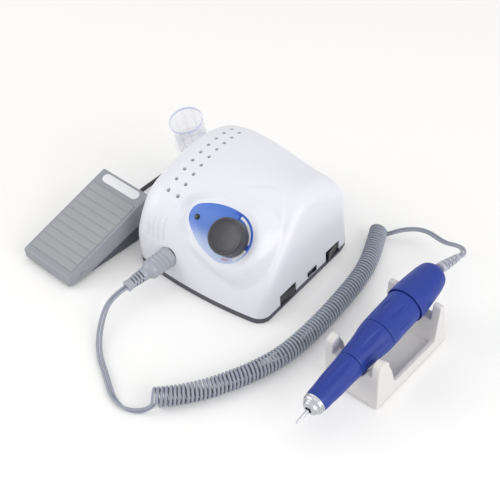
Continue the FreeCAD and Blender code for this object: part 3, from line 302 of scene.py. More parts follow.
# %% [markdown]
# ## The pedal's cord
# A thin round cord leaves the pedal's gland and goes behind the control box. Only
# 40 mm of it shows; the spare length is put away in a neat two-layer coil that the
# box hides, and its plug sits in the rear wall. One line runs through all of it.

# %% Route of the pedal's cord
PEDAL_CORD_RADIUS = 2.0
gland_end = PEDAL @ Vector((-10, 91.3, 9))
gland_away = PEDAL.to_3x3() @ Vector((0, 1, 0))
TO_COIL = [(-113.4, -6.5, 8.4), (-115.4, 4, 7.2), (-117.4, 15, 4.9), (-118.8, 27, 2.7),
           (-119.3, 40, 2.05), (-117.6, 53, 2.05), (-112.5, 65, 2.05), (-104, 74.5, 2.05),
           (-94.2, 81.6, 2.05)]
TO_JACK = [(-18.5, 104, 7.4), (-6, 103.2, 9.2), (2.2, 97.4, 11.2)]
COIL_CENTRE = BOX @ Vector((-54, 88.2, 2.05))
COIL_STEP = 4.45
COIL_TURNS = 3.5
COIL_INNER = 12.3
COIL_FACING = math.radians(150)
CLIMB_TURNS = 0.5


def smoothstep(value):
    """0 below 0, 1 above 1, and smooth in between."""
    value = clamp(value)
    return value * value * (3 - 2 * value)


def direction(turn):
    """The flat unit vector at an angle."""
    return Vector((math.cos(turn), math.sin(turn)))


def coil_spot(turn, reach=1.0):
    """The spiral runs in on the floor, climbs, and runs out on top."""
    climb = clamp((turn - COIL_TURNS) / CLIMB_TURNS)
    from_middle = abs(turn - COIL_TURNS - CLIMB_TURNS / 2)
    arm = COIL_INNER + COIL_STEP * (from_middle - CLIMB_TURNS / 2)
    spin = COIL_FACING - 2 * math.pi * turn
    lift = COIL_STEP * smoothstep(climb)
    return COIL_CENTRE + direction(spin).to_3d() * arm * reach + UP * lift


coil_total = 2 * COIL_TURNS + CLIMB_TURNS / 2
coil_in = (coil_spot(0.001) - coil_spot(0)).normalized()
coil_out = (coil_spot(coil_total) - coil_spot(coil_total - 0.001)).normalized()
neck = BOX @ Vector((6, 82, 12))
points = [gland_end - gland_away * 4, gland_end + gland_away, gland_end + gland_away * 8]
points += [BOX @ Vector(point) for point in TO_COIL]
points += [coil_spot(0) - coil_in * 13, coil_spot(0) - coil_in * 4]
points += [coil_spot(index / TURN_POINTS, TURN_REACH)
           for index in range(1, int(coil_total * TURN_POINTS))]
points += [coil_spot(coil_total) + coil_out * 4, coil_spot(coil_total) + coil_out * 12]
points += [BOX @ Vector(point) for point in TO_JACK]
points += [neck + Vector((0, 8.5, 0)), neck + Vector((0, 1, 0)), neck - Vector((0, 4, 0))]
pedal_cord = nurbs("pedal_cord_line", points, PEDAL_CORD_RADIUS)
print("pedal cord has", len(points), "control points")

# %% [markdown]
# ## Shader maths as plain arithmetic
# Grain, prints and wear are sums and products of patterns. Written as nodes by hand
# they fill pages, so a small class wraps one socket and lets it be added and
# multiplied like a number. Everything else goes through one method that adds any
# node from its type, its settings and its inputs.

# %% Finish helper
def join(tree, value, slot):
    """Link a wire to a socket, or write a plain value on it."""
    if isinstance(value, Wire):
        tree.links.new(value.socket, slot)
    elif hasattr(slot.default_value, "__len__") and not hasattr(value, "__len__"):
        slot.default_value = [value] * len(slot.default_value)
    elif hasattr(slot.default_value, "__len__"):
        slot.default_value = list(value)[:len(slot.default_value)]
    else:
        slot.default_value = value


class Wire:
    """One output socket that can stand in plain arithmetic."""

    def __init__(self, tree, socket):
        self.tree = tree
        self.socket = socket

    def maths(self, operation, first, second=0.0, third=0.0, clamp=False):
        node = self.tree.nodes.new("ShaderNodeMath")
        node.operation = operation
        node.use_clamp = clamp
        for value, slot in zip((first, second, third), node.inputs):
            join(self.tree, value, slot)
        return Wire(self.tree, node.outputs[0])

    def __add__(self, other):
        return self.maths("ADD", self, other)

    def __sub__(self, other):
        return self.maths("SUBTRACT", self, other)

    def __rsub__(self, other):
        return self.maths("SUBTRACT", other, self)

    def __mul__(self, other):
        return self.maths("MULTIPLY", self, other)

    def __truediv__(self, other):
        return self.maths("DIVIDE", self, other)

    __radd__ = __add__
    __rmul__ = __mul__

    def within(self, low, high):
        """0 below low, 1 above high, and smooth in between."""
        ramp = (self - low) / (high - low)
        ramp = self.maths("ADD", ramp, 0.0, clamp=True)
        return self.maths("SMOOTH_MIN", ramp, 1.0, 0.2)


def paint(red, green, blue):
    """A colour as a screen shows it (0 to 255), turned into linear light."""
    values = []
    for level in (red, green, blue):
        level = level / 255
        values.append(level / 12.92 if level <= 0.04045 else ((level + 0.055) / 1.055) ** 2.4)
    return (*values, 1.0)


class Finish:
    """A material under construction, with its principled shader."""

    def __init__(self, name, slot):
        self.material = bpy.data.materials.new(name)
        self.material.use_nodes = True
        self.slot = slot
        self.tree = self.material.node_tree
        self.shader = self.tree.nodes["Principled BSDF"]
        self.place = self.node("ShaderNodeTexCoord", output="Object")

    def node(self, kind, settings=None, inputs=None, output=0):
        """Any node: its type, its settings, then the values or links of its sockets."""
        node = self.tree.nodes.new(kind)
        for name, value in (settings or {}).items():
            if name == "stops":
                ramp = node.color_ramp.elements
                while len(ramp) < len(value):
                    ramp.new(1.0)
                for stop, (position, colour) in zip(ramp, value):
                    stop.position = position
                    stop.color = colour
            else:
                setattr(node, name, value)
        for name, value in (inputs or {}).items():
            join(self.tree, value, node.inputs[name])
        return Wire(self.tree, node.outputs[output])

    def noise(self, scale, detail=3.0):
        return self.node("ShaderNodeTexNoise", inputs={
            "Vector": self.place, "Scale": scale, "Detail": detail})

    def mix(self, factor, first, second):
        """Blend two colours."""
        return self.node("ShaderNodeMix", {"data_type": "RGBA"},
                         {0: factor, 6: first, 7: second}, output=2)

    def along(self, axis):
        """One of a point's three numbers, in millimetres."""
        return self.node("ShaderNodeSeparateXYZ", inputs={0: self.place}, output=axis) * TO_MM

    def set(self, **values):
        """Shader sockets by name, with spaces written as underscores."""
        for name, value in values.items():
            join(self.tree, value, self.shader.inputs[name.replace("_", " ")])

    def bump(self, height, depth):
        """Relief of a depth in millimetres."""
        self.set(Normal=self.node("ShaderNodeBump", inputs={
            "Height": height, "Distance": depth * MM}))


print("a wire can stand in plain arithmetic")

# %% [markdown]
# ## Stage
# The machine stands on a white sweep under large soft lamps. The floor's own colour
# is nearly white, and rays that come straight from the camera see it a little
# brighter still, which keeps the backdrop clean without more light on the object.

# %% Stage and lamps
FLOOR_HALF, FLOOR_LEVEL, FLOOR_GLOW = 4.0, -0.0002, 0.1
SKY_LIGHT, SKY_SEEN = 0.62, 0.36


def seen_directly(tree):
    """1 for rays from the camera, off a mirror or through glass, and 0 for others."""
    path = tree.nodes.new("ShaderNodeLightPath")
    kinds = [Wire(tree, path.outputs["Is %s Ray" % kind])
             for kind in ("Camera", "Glossy", "Transmission")]
    return kinds[0] + kinds[1] + kinds[2]


def stage_finish():
    """Nearly white, and a little brighter where a ray sees it directly."""
    finish = Finish("sweep", "shell_white")
    finish.set(Base_Color=paint(244, 243, 242), Roughness=0.9, Specular_IOR_Level=0.1)
    glow = finish.node("ShaderNodeEmission", inputs={"Color": (1, 1, 1, 1),
                                                     "Strength": FLOOR_GLOW})
    seen = finish.node("ShaderNodeMixShader", inputs={0: seen_directly(finish.tree), 2: glow})
    plain = Wire(finish.tree, finish.shader.outputs[0])
    total = finish.node("ShaderNodeAddShader", inputs={0: plain, 1: seen})
    join(finish.tree, total, finish.tree.nodes["Material Output"].inputs["Surface"])
    return finish


def lamp(name, place, aim, size, power):
    """A soft square lamp."""
    data = bpy.data.lights.new(name, "AREA")
    data.shape = "SQUARE"
    data.size = size
    data.energy = power
    look(stand(name, data), place, aim)


floor_mesh = bpy.data.meshes.new("floor")
floor_mesh.from_pydata([(x * FLOOR_HALF, y * FLOOR_HALF, FLOOR_LEVEL)
                        for x, y in ((-1, -1), (1, -1), (1, 1), (-1, 1))], [], [(0, 1, 2, 3)])
floor_mesh.materials.append(stage_finish().material)
floor = stand("floor", floor_mesh)
floor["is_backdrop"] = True
lamp("overhead", (0.1, 0.35, 1.5), (0, 0, 0), 1.6, 3.5)
lamp("right_window", (1.5, -0.2, 0.7), (0, 0, 0.03), 1.2, 12.5)
lamp("left_fill", (-1.2, -0.9, 0.8), (0, 0, 0.03), 1.2, 9)
world = bpy.data.worlds.new("studio")
bpy.context.scene.world = world
world.use_nodes = True
sky = world.node_tree.nodes["Background"]
sky.inputs["Color"].default_value = (1, 1, 1, 1)
join(world.node_tree, seen_directly(world.node_tree) * SKY_SEEN + SKY_LIGHT,
     sky.inputs["Strength"])
print("stage is lit")

# %% [markdown]
# ## Finishes of the control box
# The shell is bright white plastic with a satin gloss and a hint of blue. Under it
# sits a dark grey tray. The panel is a printed film: solid blue at the top that
# breaks up into a pale blue below. All of them are built from noise and gradients,
# because a photograph of the real thing would carry its light and its lettering.

# %% Shell, tray and black plastic
CLOUD_SCALE, GLOSS_SCALE, GLOSS_SPREAD = 35.0, 160.0, 0.12


def moulded(name, slot, colour, rough, grain=0.012, grain_scale=1400.0, shift=0.05):
    """Moulded plastic: faint cloudiness, a fine spark texture and uneven gloss."""
    finish = Finish(name, slot)
    cloud = finish.noise(CLOUD_SCALE, 4.0)
    darker = [level * (1 - shift) for level in colour[:3]] + [1.0]
    lighter = [min(level * (1 + shift * 0.4), 1.0) for level in colour[:3]] + [1.0]
    finish.set(Base_Color=finish.mix(cloud, darker, lighter))
    finish.set(Roughness=finish.noise(GLOSS_SCALE) * GLOSS_SPREAD + (rough - GLOSS_SPREAD / 2))
    finish.bump(finish.noise(grain_scale, 2.0), grain)
    return finish


SHELL = moulded("shell_plastic", "shell_white", paint(231, 232, 239), 0.34, 0.006, 1500.0, 0.02)
SHELL.set(Coat_Weight=0.25, Coat_Roughness=0.22)
TRAY = moulded("tray_plastic", "tray_grey", paint(80, 79, 90), 0.42, 0.02, 900.0)
BLACK = moulded("black_plastic", "black_plastic", paint(34, 34, 38), 0.3, 0.012, 1200.0)
# Painted shade: the walls of the vent holes get this dark colour for the shade of the box's dark
# inside.
HOLE_SHADE = moulded("painted_hole_shade", "shell_white", paint(118, 106, 96), 0.6)

# %% [markdown]
# ## The shell's form
# The shell is a wedge: three smooth cross-sections, at the left, in the middle and
# at the right, are blended across the width, and two leaning flat sides cut them
# off. Where they meet runs a wide round of 11 mm. A grid of points is worked out
# from those sections, row by row, because a subdivided box would never keep the
# exact flats and the even round. The rear edge gets a smaller round.

# %% Cross-sections of the shell
# Left, middle and right: the foot's y, two corners as (y, z), the height at the
# rear, and the radius of the front's bow.
SECTIONS = (
    {"foot": -55.5, "brow": (-59.7, 41.1), "crown": (-29.8, 77.4), "back": 68.1, "bow": 128.2},
    {"foot": -62.9, "brow": (-53, 42), "crown": (-27, 71.5), "back": 78.5, "bow": 86.7},
    {"foot": -58.9, "brow": (-43.2, 29.6), "crown": (-0.8, 72.7), "back": 57, "bow": 60.5},
)
# HALF_WIDTH is where the outer two stand. The rest are levels, rounds and swells in
# millimetres, and then the counts that divide the skin.
HALF_WIDTH = 66
REAR = 57.0
REAR_BULGE = 60.2
REAR_ROUND = 9.0
SHELL_BASE = 5.0
SIDE_ROUND = 11.0
SHOULDER_ROUND = 6.0
HIGHEST = 86.3
SOFT_CEILING = 0.8
SWELL, SWELL_DIP = 3.9, 1.2
SIDE_X, SIDE_LEAN = 65.0, {1: 0.085, -1: 0.008}
FRONT_ROWS, BROW_ROWS, TOP_ROWS = 44, 52, 84
ACROSS = 124
ROUND_STEPS = 9


def arc_run(start, heading, end, count):
    """Evenly spaced points of the arc that leaves start along heading and meets end."""
    chord = end - start
    bend = math.atan2(heading.x * chord.y - heading.y * chord.x, heading.dot(chord))
    facing = math.atan2(heading.y, heading.x)
    points = []
    for index in range(count + 1):
        t = index / count
        if abs(bend) < 1e-6:
            points.append(start + chord * t)
            continue
        reach = chord.length * math.sin(bend * t) / math.sin(bend)
        points.append(start + direction(facing + bend * t) * reach)
    return points, direction(facing + 2 * bend)


def section_points(data, fine=60):
    """The three arcs of one cross-section in (y, z), from foot to back."""
    foot, brow = Vector((data["foot"], 0)), Vector(data["brow"])
    crown, back = Vector(data["crown"]), Vector((REAR, data["back"]))
    chord = brow - foot
    half_bend = math.asin(chord.length / 2 / data["bow"])
    heading = Matrix.Rotation(half_bend, 2) @ chord.normalized()
    runs = []
    for start, end in ((foot, brow), (brow, crown), (crown, back)):
        run, heading = arc_run(start, heading, end, fine)
        runs.append(run)
    return runs


RUNS = [section_points(data) for data in SECTIONS]


def blend_weights(x):
    """Weights of the left, middle and right section: a parabola through the three."""
    t = x / HALF_WIDTH
    return t * (t - 1) / 2, 1 - t * t, t * (t + 1) / 2


def column(x):
    """The profile at one x: rows of (y, z) from the shell's foot to the rear round."""
    weights = blend_weights(x)
    front, brow, top = (
        [sum((RUNS[s][part][i] * weights[s] for s in range(3)), Vector((0, 0)))
         for i in range(len(RUNS[0][part]))] for part in range(3))
    rows = []
    ys, zs = zip(*front)
    for index in range(FRONT_ROWS):
        z = SHELL_BASE + (zs[-1] - SHELL_BASE) * index / FRONT_ROWS
        rows.append((float(np.interp(z, zs, ys)), z))
    for index in range(BROW_ROWS):
        place = index / BROW_ROWS * (len(brow) - 1)
        whole = min(int(place), len(brow) - 2)
        rows.append(tuple(brow[whole].lerp(brow[whole + 1], place - whole)))
    ys, zs = zip(*top)
    last = REAR_BULGE - REAR_ROUND
    swell = SWELL * math.cos(math.pi * (x / HALF_WIDTH + 0.65) / 1.12) - SWELL_DIP
    for index in range(TOP_ROWS + 1):
        y = ys[0] + (last - ys[0]) * index / TOP_ROWS
        room = HIGHEST - float(np.interp(y, ys, zs)) - swell * smoothstep((y + 12) / 50)
        rows.append((y, HIGHEST - SOFT_CEILING * math.log1p(math.exp(room / SOFT_CEILING))))
    return rows


COLUMN_X = np.linspace(-HALF_WIDTH, HALF_WIDTH, 45)
TABLE = np.array([column(x) for x in COLUMN_X])
ROWS = TABLE.shape[1]


def surface(row, x):
    """The point of a row at any x."""
    y = np.interp(x, COLUMN_X, TABLE[:, row, 0])
    z = np.interp(x, COLUMN_X, TABLE[:, row, 1])
    return Vector((x, float(y), float(z)))


def side_x(side, z):
    """Where a flat side (-1 left, 1 right) stands at a height."""
    return side * (SIDE_X - SIDE_LEAN[side] * z)


def edge_point(row, side):
    """Where a row would meet the flat side if there were no round."""
    x = side * SIDE_X
    for _ in range(4):
        x = side_x(side, surface(row, x).z)
    return surface(row, x)


print("profile rows:", ROWS)

# %% [markdown]
# ## Outline of the dial's seat
# The printed panel and the flat that it lies in have the outline of a drop. It is
# drawn as a designer would draw it: a large and a small circle, and two wide arcs
# that touch both. The touching points follow from the radii, so the outline can be
# let out or drawn in by a margin and stays free of corners.

# %% Drop outline
# In the dial's own plane: the middle of its printed ring, and how much wider than
# the panel its seat is.
RING_X = -3.5
PANEL_GROW = 2.0


def arc(radius, turns, x=0.0, y=0.0):
    """Points of a circle at these angles, in radians."""
    return [(x + radius * math.cos(turn), y + radius * math.sin(turn)) for turn in turns]


def drop_outline(grow, count=96):
    """The dial field: two circles joined by two long convex arcs."""
    big, small = Vector((RING_X, 0)), Vector((-32.5, 4.5))
    sweep, big_radius, small_radius = 60 + grow, 20.7 + grow, 11 + grow
    span = (small - big).length
    far, near = sweep - big_radius, sweep - small_radius
    along = (far ** 2 - near ** 2 + span ** 2) / (2 * span)
    aside = math.sqrt(far ** 2 - along ** 2)
    axis = (small - big).normalized()
    across = Vector((-axis.y, axis.x))
    ends = []
    for side in (-1, 1):
        centre = big + axis * along + across * aside * side
        ends.append((big + (big - centre).normalized() * big_radius,
                     small + (small - centre).normalized() * small_radius, centre))

    def sweep_arc(centre, start, end, radius, through):
        steps = count // 4
        first = math.atan2(start.y - centre.y, start.x - centre.x)
        last = math.atan2(end.y - centre.y, end.x - centre.x)
        turn = (last - first + math.pi) % (2 * math.pi) - math.pi
        if direction(first + turn / 2).dot(through) < 0:
            turn -= math.copysign(2 * math.pi, turn)
        return arc(radius, [first + turn * i / steps for i in range(steps)], *centre)

    (big_a, small_a, centre_a), (big_b, small_b, centre_b) = ends
    return (sweep_arc(centre_a, big_a, small_a, sweep, across)
            + sweep_arc(small, small_a, small_b, small_radius, axis)
            + sweep_arc(centre_b, small_b, big_b, sweep, -across)
            + sweep_arc(big, big_b, big_a, big_radius, -axis))


pad_outline = drop_outline(PANEL_GROW)
print("drop outline points:", len(pad_outline))

# %% [markdown]
# ## The raised oval and the fine arcs
# Around the dial lies a large oval field. At its left it is pressed into the shell
# by 0.7 mm with a crisp step; at its right and foot it stands slightly proud and
# fades out. Around the printed panel the surface runs smoothly into the panel's
# plane. Left of the socket are four fine curved lines. All of them are shifts of the
# grid's points, so they take light as real relief does.

# %% Relief on the front
OVAL = [(-27.5, -37.9, 65.7), (-23.2, -45.5, 56.8), (-14.8, -52.7, 44.8), (1.8, -58, 32.3),
        (22.2, -58.2, 27.3), (38.2, -54.4, 29.2), (54, -35, 49.3), (52, -16.8, 67.9),
        (44.8, -3.3, 78.9), (29.8, 1.2, 84), (7.8, -10.4, 82.2), (-13.5, -23.2, 75.9),
        (-21.2, -33.4, 69)]
OVAL_SUNK, OVAL_PROUD, OVAL_FOOT, OVAL_HEAD = -0.7, 1.5, 0.7, 0.3
PANEL_LEVEL = 0.08
CHEEK_LINES = [(-47.5, 36, 51), (-43, 34.5, 53), (-38.3, 34, 55), (-33.2, 36, 55)]
CHEEK_HEIGHT, CHEEK_WIDTH, CHEEK_BEND = 1.0, 0.75, 0.0105
TO_DIAL = DIAL_IN_BOX.inverted()


def smooth_loop(points, per_span=8):
    """A closed Catmull-Rom loop: it runs smoothly through every point."""
    loop = []
    count = len(points)
    for index in range(count):
        p0, p1, p2, p3 = (points[(index + shift) % count] for shift in (-1, 0, 1, 2))
        for step in range(per_span):
            t = step / per_span
            loop.append((2 * p1 + (p2 - p0) * t + (2 * p0 - 5 * p1 + 4 * p2 - p3) * t * t
                         + (3 * p1 - p0 - 3 * p2 + p3) * t ** 3) * 0.5)
    return loop


oval_loop = np.array(smooth_loop([(TO_DIAL @ Vector(point)).xy for point in OVAL]))
pad_loop = np.array(pad_outline)


def depth_inside(loop, point):
    """Distance to a loop, positive inside."""
    starts, ends = loop, np.roll(loop, -1, axis=0)
    runs = ends - starts
    offsets = np.array(point) - starts
    t = np.clip((offsets * runs).sum(1) / (runs * runs).sum(1), 0, 1)
    nearest = np.hypot(*(offsets - runs * t[:, None]).T).min()
    above = starts[:, 1] > point[1]
    crosses = above != (ends[:, 1] > point[1])
    at = starts[:, 0] + (point[1] - starts[:, 1]) * runs[:, 0] / np.where(
        runs[:, 1] == 0, 1e-9, runs[:, 1])
    inside = np.count_nonzero(crosses & (at > point[0])) % 2 == 1
    return nearest if inside else -nearest


def outward(row, x):
    """The direction straight out of the smooth surface."""
    along = surface(min(row + 1, ROWS - 1), x) - surface(max(row - 1, 0), x)
    across = surface(row, x + 0.5) - surface(row, x - 0.5)
    return across.cross(along).normalized()


def relief(row, x):
    """A grid point with the oval and the fine lines pressed into it."""
    point = surface(row, x)
    spot = TO_DIAL @ point
    moved = point.copy()
    if -60 < spot.x < 40 and -45 < spot.y < 60 and point.x < 58:
        depth = depth_inside(oval_loop, spot.xy)
        if depth > 0:
            to_right = clamp((spot.x + 50) / 81)
            height = OVAL_SUNK + OVAL_PROUD * to_right
            height += OVAL_FOOT * clamp(-spot.y / 32) + OVAL_HEAD * clamp(spot.y / 25)
            moved += outward(row, x) * height * smoothstep(depth / (2.6 + to_right))
        gap = -depth_inside(pad_loop, spot.xy)
        reach = 7.5 + 9 * smoothstep((spot.x + 10) / 30)
        flush = 1 - smoothstep((gap - 0.6) / reach)
        if flush > 0:
            spot = TO_DIAL @ moved
            spot.z += (PANEL_LEVEL - spot.z) * flush
            moved = DIAL_IN_BOX @ spot
    for line_x, low, high in CHEEK_LINES:
        if point.y < -30 and low - 3 < point.z < high + 3:
            bend = CHEEK_BEND * (point.z - (low + high) / 2) ** 2
            off = point.x - (line_x - 1.6 + bend)
            fade = smoothstep((point.z - low + 2) / 3) * smoothstep((high + 2 - point.z) / 3)
            moved.y += CHEEK_HEIGHT * math.exp(-(off / CHEEK_WIDTH) ** 2) * fade
    return moved


print("oval loop points:", len(oval_loop))

# %% [markdown]
# ## From points to pieces
# Every piece starts as a list of points, in the millimetres of its unit, and a list
# of faces. One helper turns them into an object that rides on a body, wears a finish
# and stands for a node of the solids. Shading is smooth up to an angle, so that true
# edges stay crisp without extra geometry.

# %% Piece helpers
def wear(item, finish):
    """Give an object a finish."""
    item.data.materials.clear()
    item.data.materials.append(finish.material)


def raw_mesh(name, points, faces, unit):
    """A mesh from a unit's points."""
    mesh = bpy.data.meshes.new(name)
    mesh.from_pydata(metres(unit, points), [], faces)
    return mesh


def finish_piece(item, body, finish, stands_for=(), angle=40):
    """Outward normals, smooth shading up to an angle, material, body, node."""
    work = bmesh.new()
    work.from_mesh(item.data)
    bmesh.ops.remove_doubles(work, verts=work.verts, dist=1e-7)
    bmesh.ops.recalc_face_normals(work, faces=work.faces)
    work.to_mesh(item.data)
    work.free()
    item.data.shade_smooth()
    item.data.set_sharp_from_angle(angle=math.radians(angle))
    wear(item, finish)
    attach(item, body)
    if stands_for:
        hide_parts(*stands_for)
    return item


def piece(name, points, faces, unit, body, finish, stands_for=(), angle=40):
    """A mesh object from a unit's points, riding on a body."""
    mesh = raw_mesh(name, points, faces, unit)
    mesh.validate()
    return finish_piece(stand(name, mesh), body, finish, stands_for, angle)


def grid_faces(rows, columns, wrap_rows=False, wrap_columns=False):
    """Four-sided faces between the rows of a grid of points."""
    faces = []
    for row in range(rows if wrap_rows else rows - 1):
        for column in range(columns if wrap_columns else columns - 1):
            up, over = (row + 1) % rows, (column + 1) % columns
            faces.append(tuple(a * columns + b for a, b in (
                (row, column), (row, over), (up, over), (up, column))))
    return faces


print("points can become pieces")

# %% [markdown]
# ## Skinning the shell
# Each row runs over the left round, the top and the right round. The rounds are
# Bezier arcs that leave the top and meet the flat side without a kink, and towards
# the shoulders they widen, as on the real shell.

# %% Skin
# With handles this long a Bezier curve follows a quarter of a circle. The round of
# each side (-1 left, 1 right) widens from a first row on, over a number of rows.
ARC_HANDLE = 0.5523
WIDENING = {-1: (FRONT_ROWS - 18, 36), 1: (FRONT_ROWS + BROW_ROWS, 84)}
FOOT_ROWS, FOOT_RISE = 15, 0.15


def round_points(row, side):
    """Points of the round from the top to the flat side, on one row."""
    here = edge_point(row, side)
    before, after = edge_point(max(row - 1, 0), side), edge_point(min(row + 1, ROWS - 1), side)
    along = (after - before).normalized()
    down = along.cross(Vector((side, 0, SIDE_LEAN[side])).normalized()) * side
    across = surface(row, here.x - side * 2) - here
    across = (across - along * across.dot(along)).normalized()
    corner = across.angle(down)
    first_row, span = WIDENING[side]
    wider = SHOULDER_ROUND * smoothstep((row - first_row) / span)
    setback = (SIDE_ROUND + wider) / math.tan(corner / 2)
    start = surface(row, here.x + across.x * setback)
    end = here + down * setback
    if row == 0:
        end.z = SHELL_BASE
    if row == ROWS - 1:
        end.y = REAR_BULGE - REAR_ROUND
    end.x = side_x(side, end.z)
    points = []
    for step in range(1, ROUND_STEPS + 1):
        t = step / ROUND_STEPS
        first, second = start.lerp(here, ARC_HANDLE), end.lerp(here, ARC_HANDLE)
        points.append(start * (1 - t) ** 3 + first * 3 * t * (1 - t) ** 2
                      + second * 3 * t * t * (1 - t) + end * t ** 3)
    return start, points


def shell_grid():
    """All rows of the skin; the lowest ones keep rising, so that the foot doesn't fold."""
    grid = []
    for row in range(ROWS):
        left_start, left = round_points(row, -1)
        right_start, right = round_points(row, 1)
        width = right_start.x - left_start.x
        middle = [relief(row, left_start.x + width * index / ACROSS)
                  for index in range(ACROSS + 1)]
        grid.append(left[::-1] + middle + right)
    for point in grid[0]:
        point.z = SHELL_BASE
    for below, above in zip(grid[:FOOT_ROWS], grid[1:]):
        for lower, upper in zip(below, above):
            upper.z = max(upper.z, lower.z + FOOT_RISE)
    return grid


GRID = shell_grid()
print("shell grid: %d rows of %d points" % (len(GRID), len(GRID[0])))

# %% [markdown]
# ## Closing the shell
# The flat sides, a rounded rear wall and the underside close the skin into one
# solid. A boolean needs such a solid: an open skin has no inside, and windows and
# holes could not be cut from it cleanly.

# %% Closed shell
WALL_STEPS = 8


def rear_rings(outline, steps=9):
    """The wide round from the top to the flat rear wall, tighter at the sides."""
    rings = []
    for step in range(1, steps + 1):
        turn = math.pi / 2 * step / steps
        pull, push = 1 - math.cos(turn), REAR_ROUND * math.sin(turn)
        ring = []
        for point in outline:
            low = SHELL_BASE + (point.z - SHELL_BASE) * (1 - 0.6 * pull)
            ring.append(Vector((point.x * (1 - 0.03 * pull), point.y + push, low)))
        rings.append(ring)
    return rings


def shell_solid(grid):
    """Points and faces of the closed shell, from its rows down to its base."""
    width = len(grid[0])
    points = [point for row in grid for point in row]
    faces = grid_faces(len(grid), width)
    last = grid[-1]
    walls = []
    for side, corner in ((-1, last[0]), (1, last[-1])):
        heights = [corner.z + (SHELL_BASE - corner.z) * step / WALL_STEPS
                   for step in range(1, WALL_STEPS + 1)]
        walls.append([Vector((side_x(side, z), corner.y, z)) for z in heights])
    left_wall, right_wall = walls[0][::-1], walls[1]
    rings = rear_rings(left_wall + last + right_wall)
    left_first = len(points)
    right_first = left_first + WALL_STEPS
    points += left_wall + right_wall
    top_first = (len(grid) - 1) * width
    edge = (list(range(left_first, right_first)) + list(range(top_first, top_first + width))
            + list(range(right_first, len(points))))
    before, foot_left, foot_right = edge, [left_first], [right_first + WALL_STEPS - 1]
    for ring in rings:
        now = list(range(len(points), len(points) + len(ring)))
        points += ring
        faces += [(before[i], before[i + 1], now[i + 1], now[i]) for i in range(len(now) - 1)]
        before = now
        foot_left.insert(0, now[0])
        foot_right.append(now[-1])
    faces.append(tuple(before))
    faces.append(tuple(range(0, top_first + 1, width)) + tuple(edge[:WALL_STEPS][::-1]))
    faces.append(tuple(range(width - 1, top_first + width, width)) + tuple(edge[-WALL_STEPS:]))
    faces.append(tuple(list(range(width)) + foot_right + foot_left))
    return points, faces


shell = piece("shell_body", *shell_solid(GRID), BOX, "root", SHELL, ["top_shell"], 60)
print("shell faces", len(shell.data.polygons))

# %% [markdown]
# ## Hollowing the shell
# The same form, a little smaller and drawn with a coarser grid, is cut out of the
# solid and leaves a wall. A Solidify modifier would be quicker, but behind the crisp
# step of the oval, which bends more tightly than the wall is thick, its inner skin
# would cross itself.

# %% Carving
INNER_SCALE = 0.955


def apply_modifiers(item):
    """Turn the object's modified shape into its own mesh."""
    graph = bpy.context.evaluated_depsgraph_get()
    mesh = bpy.data.meshes.new_from_object(item.evaluated_get(graph))
    old = item.data
    item.modifiers.clear()
    item.data = mesh
    bpy.data.meshes.remove(old)


def carve(item, *tools, operation="DIFFERENCE"):
    """Cut throwaway tool objects out of a piece, or add them to it."""
    for tool in tools:
        cutter = item.modifiers.new("carve", "BOOLEAN")
        cutter.operation = operation
        cutter.solver = "EXACT"
        cutter.object = tool
        cutter.material_mode = "TRANSFER"
    apply_modifiers(item)
    for tool in tools:
        bpy.data.objects.remove(tool)


def tool(name, shape, unit, finish):
    """A throwaway object for carving."""
    mesh = raw_mesh(name, *shape, unit)
    work = bmesh.new()
    work.from_mesh(mesh)
    bmesh.ops.recalc_face_normals(work, faces=work.faces)
    if work.calc_volume(signed=True) < 0:
        bmesh.ops.reverse_faces(work, faces=work.faces)
    work.to_mesh(mesh)
    work.free()
    mesh.materials.append(finish.material)
    return stand(name, mesh)


def every_fourth(items):
    """Each fourth item and the last one."""
    return items[::4] + ([] if len(items) % 4 == 1 else [items[-1]])


room_points, room_faces = shell_solid([every_fourth(row) for row in every_fourth(GRID)])
room = [point * INNER_SCALE for point in room_points], room_faces
carve(shell, tool("room", room, BOX, SHELL))
print("hollow shell faces", len(shell.data.polygons))

# %% [markdown]
# ## Holes, windows and the dial's seat
# Eighteen vent holes run in two rows along the top left. Two rocker windows and a
# slot open in the right wall, a socket hole in the front, and the inlet and the
# pedal's socket in the back. The dial's seat is a drop-shaped flat. They are cut as
# the mould would form them; painting dark dots would not catch light at the rims.
# The vents' walls are painted dark, as painted shade of the box's inside.

# %% Cut the shell
VENT_RADIUS, VENT_DEPTH, FIRST_VENT = 1.6, 8, -38.6
OUTSIDE = 75


def prism(outline, low, high, along_x=False):
    """Points and faces of a straight block with this outline, along Z or along X."""
    points = [(level, a, b) if along_x else (a, b, level)
              for level in (low, high) for a, b in outline]
    count = len(outline)
    faces = [tuple(range(count)), tuple(range(count, 2 * count))]
    for index in range(count):
        after = (index + 1) % count
        faces.append((index, after, count + after, count + index))
    return points, faces


def slab(low, high):
    """Points and faces of a box between two corners."""
    (x0, y0, z0), (x1, y1, z1) = low, high
    return prism([(x0, y0), (x1, y0), (x1, y1), (x0, y1)], z0, z1)


def joined(*parts):
    """Several point and face lists as one."""
    points, faces = [], []
    for more_points, more_faces in parts:
        faces += [tuple(index + len(points) for index in face) for face in more_faces]
        points += more_points
    return points, faces


def circle(radius, steps, x=0.0, y=0.0):
    """Evenly spaced points of a whole circle."""
    return arc(radius, [2 * math.pi * index / steps for index in range(steps)], x, y)


def round_tool(name, radius, low, high, unit, finish, steps):
    """A throwaway cylinder for carving."""
    return tool(name, prism(circle(radius, steps), low, high), unit, finish)


def height_at(x, y):
    """The shell's height above a point of its plan."""
    column_points = TABLE[:, FRONT_ROWS:, :]
    heights = [np.interp(y, column_points[i, :, 0], column_points[i, :, 1])
               for i in range(len(COLUMN_X))]
    return float(np.interp(x, COLUMN_X, heights))


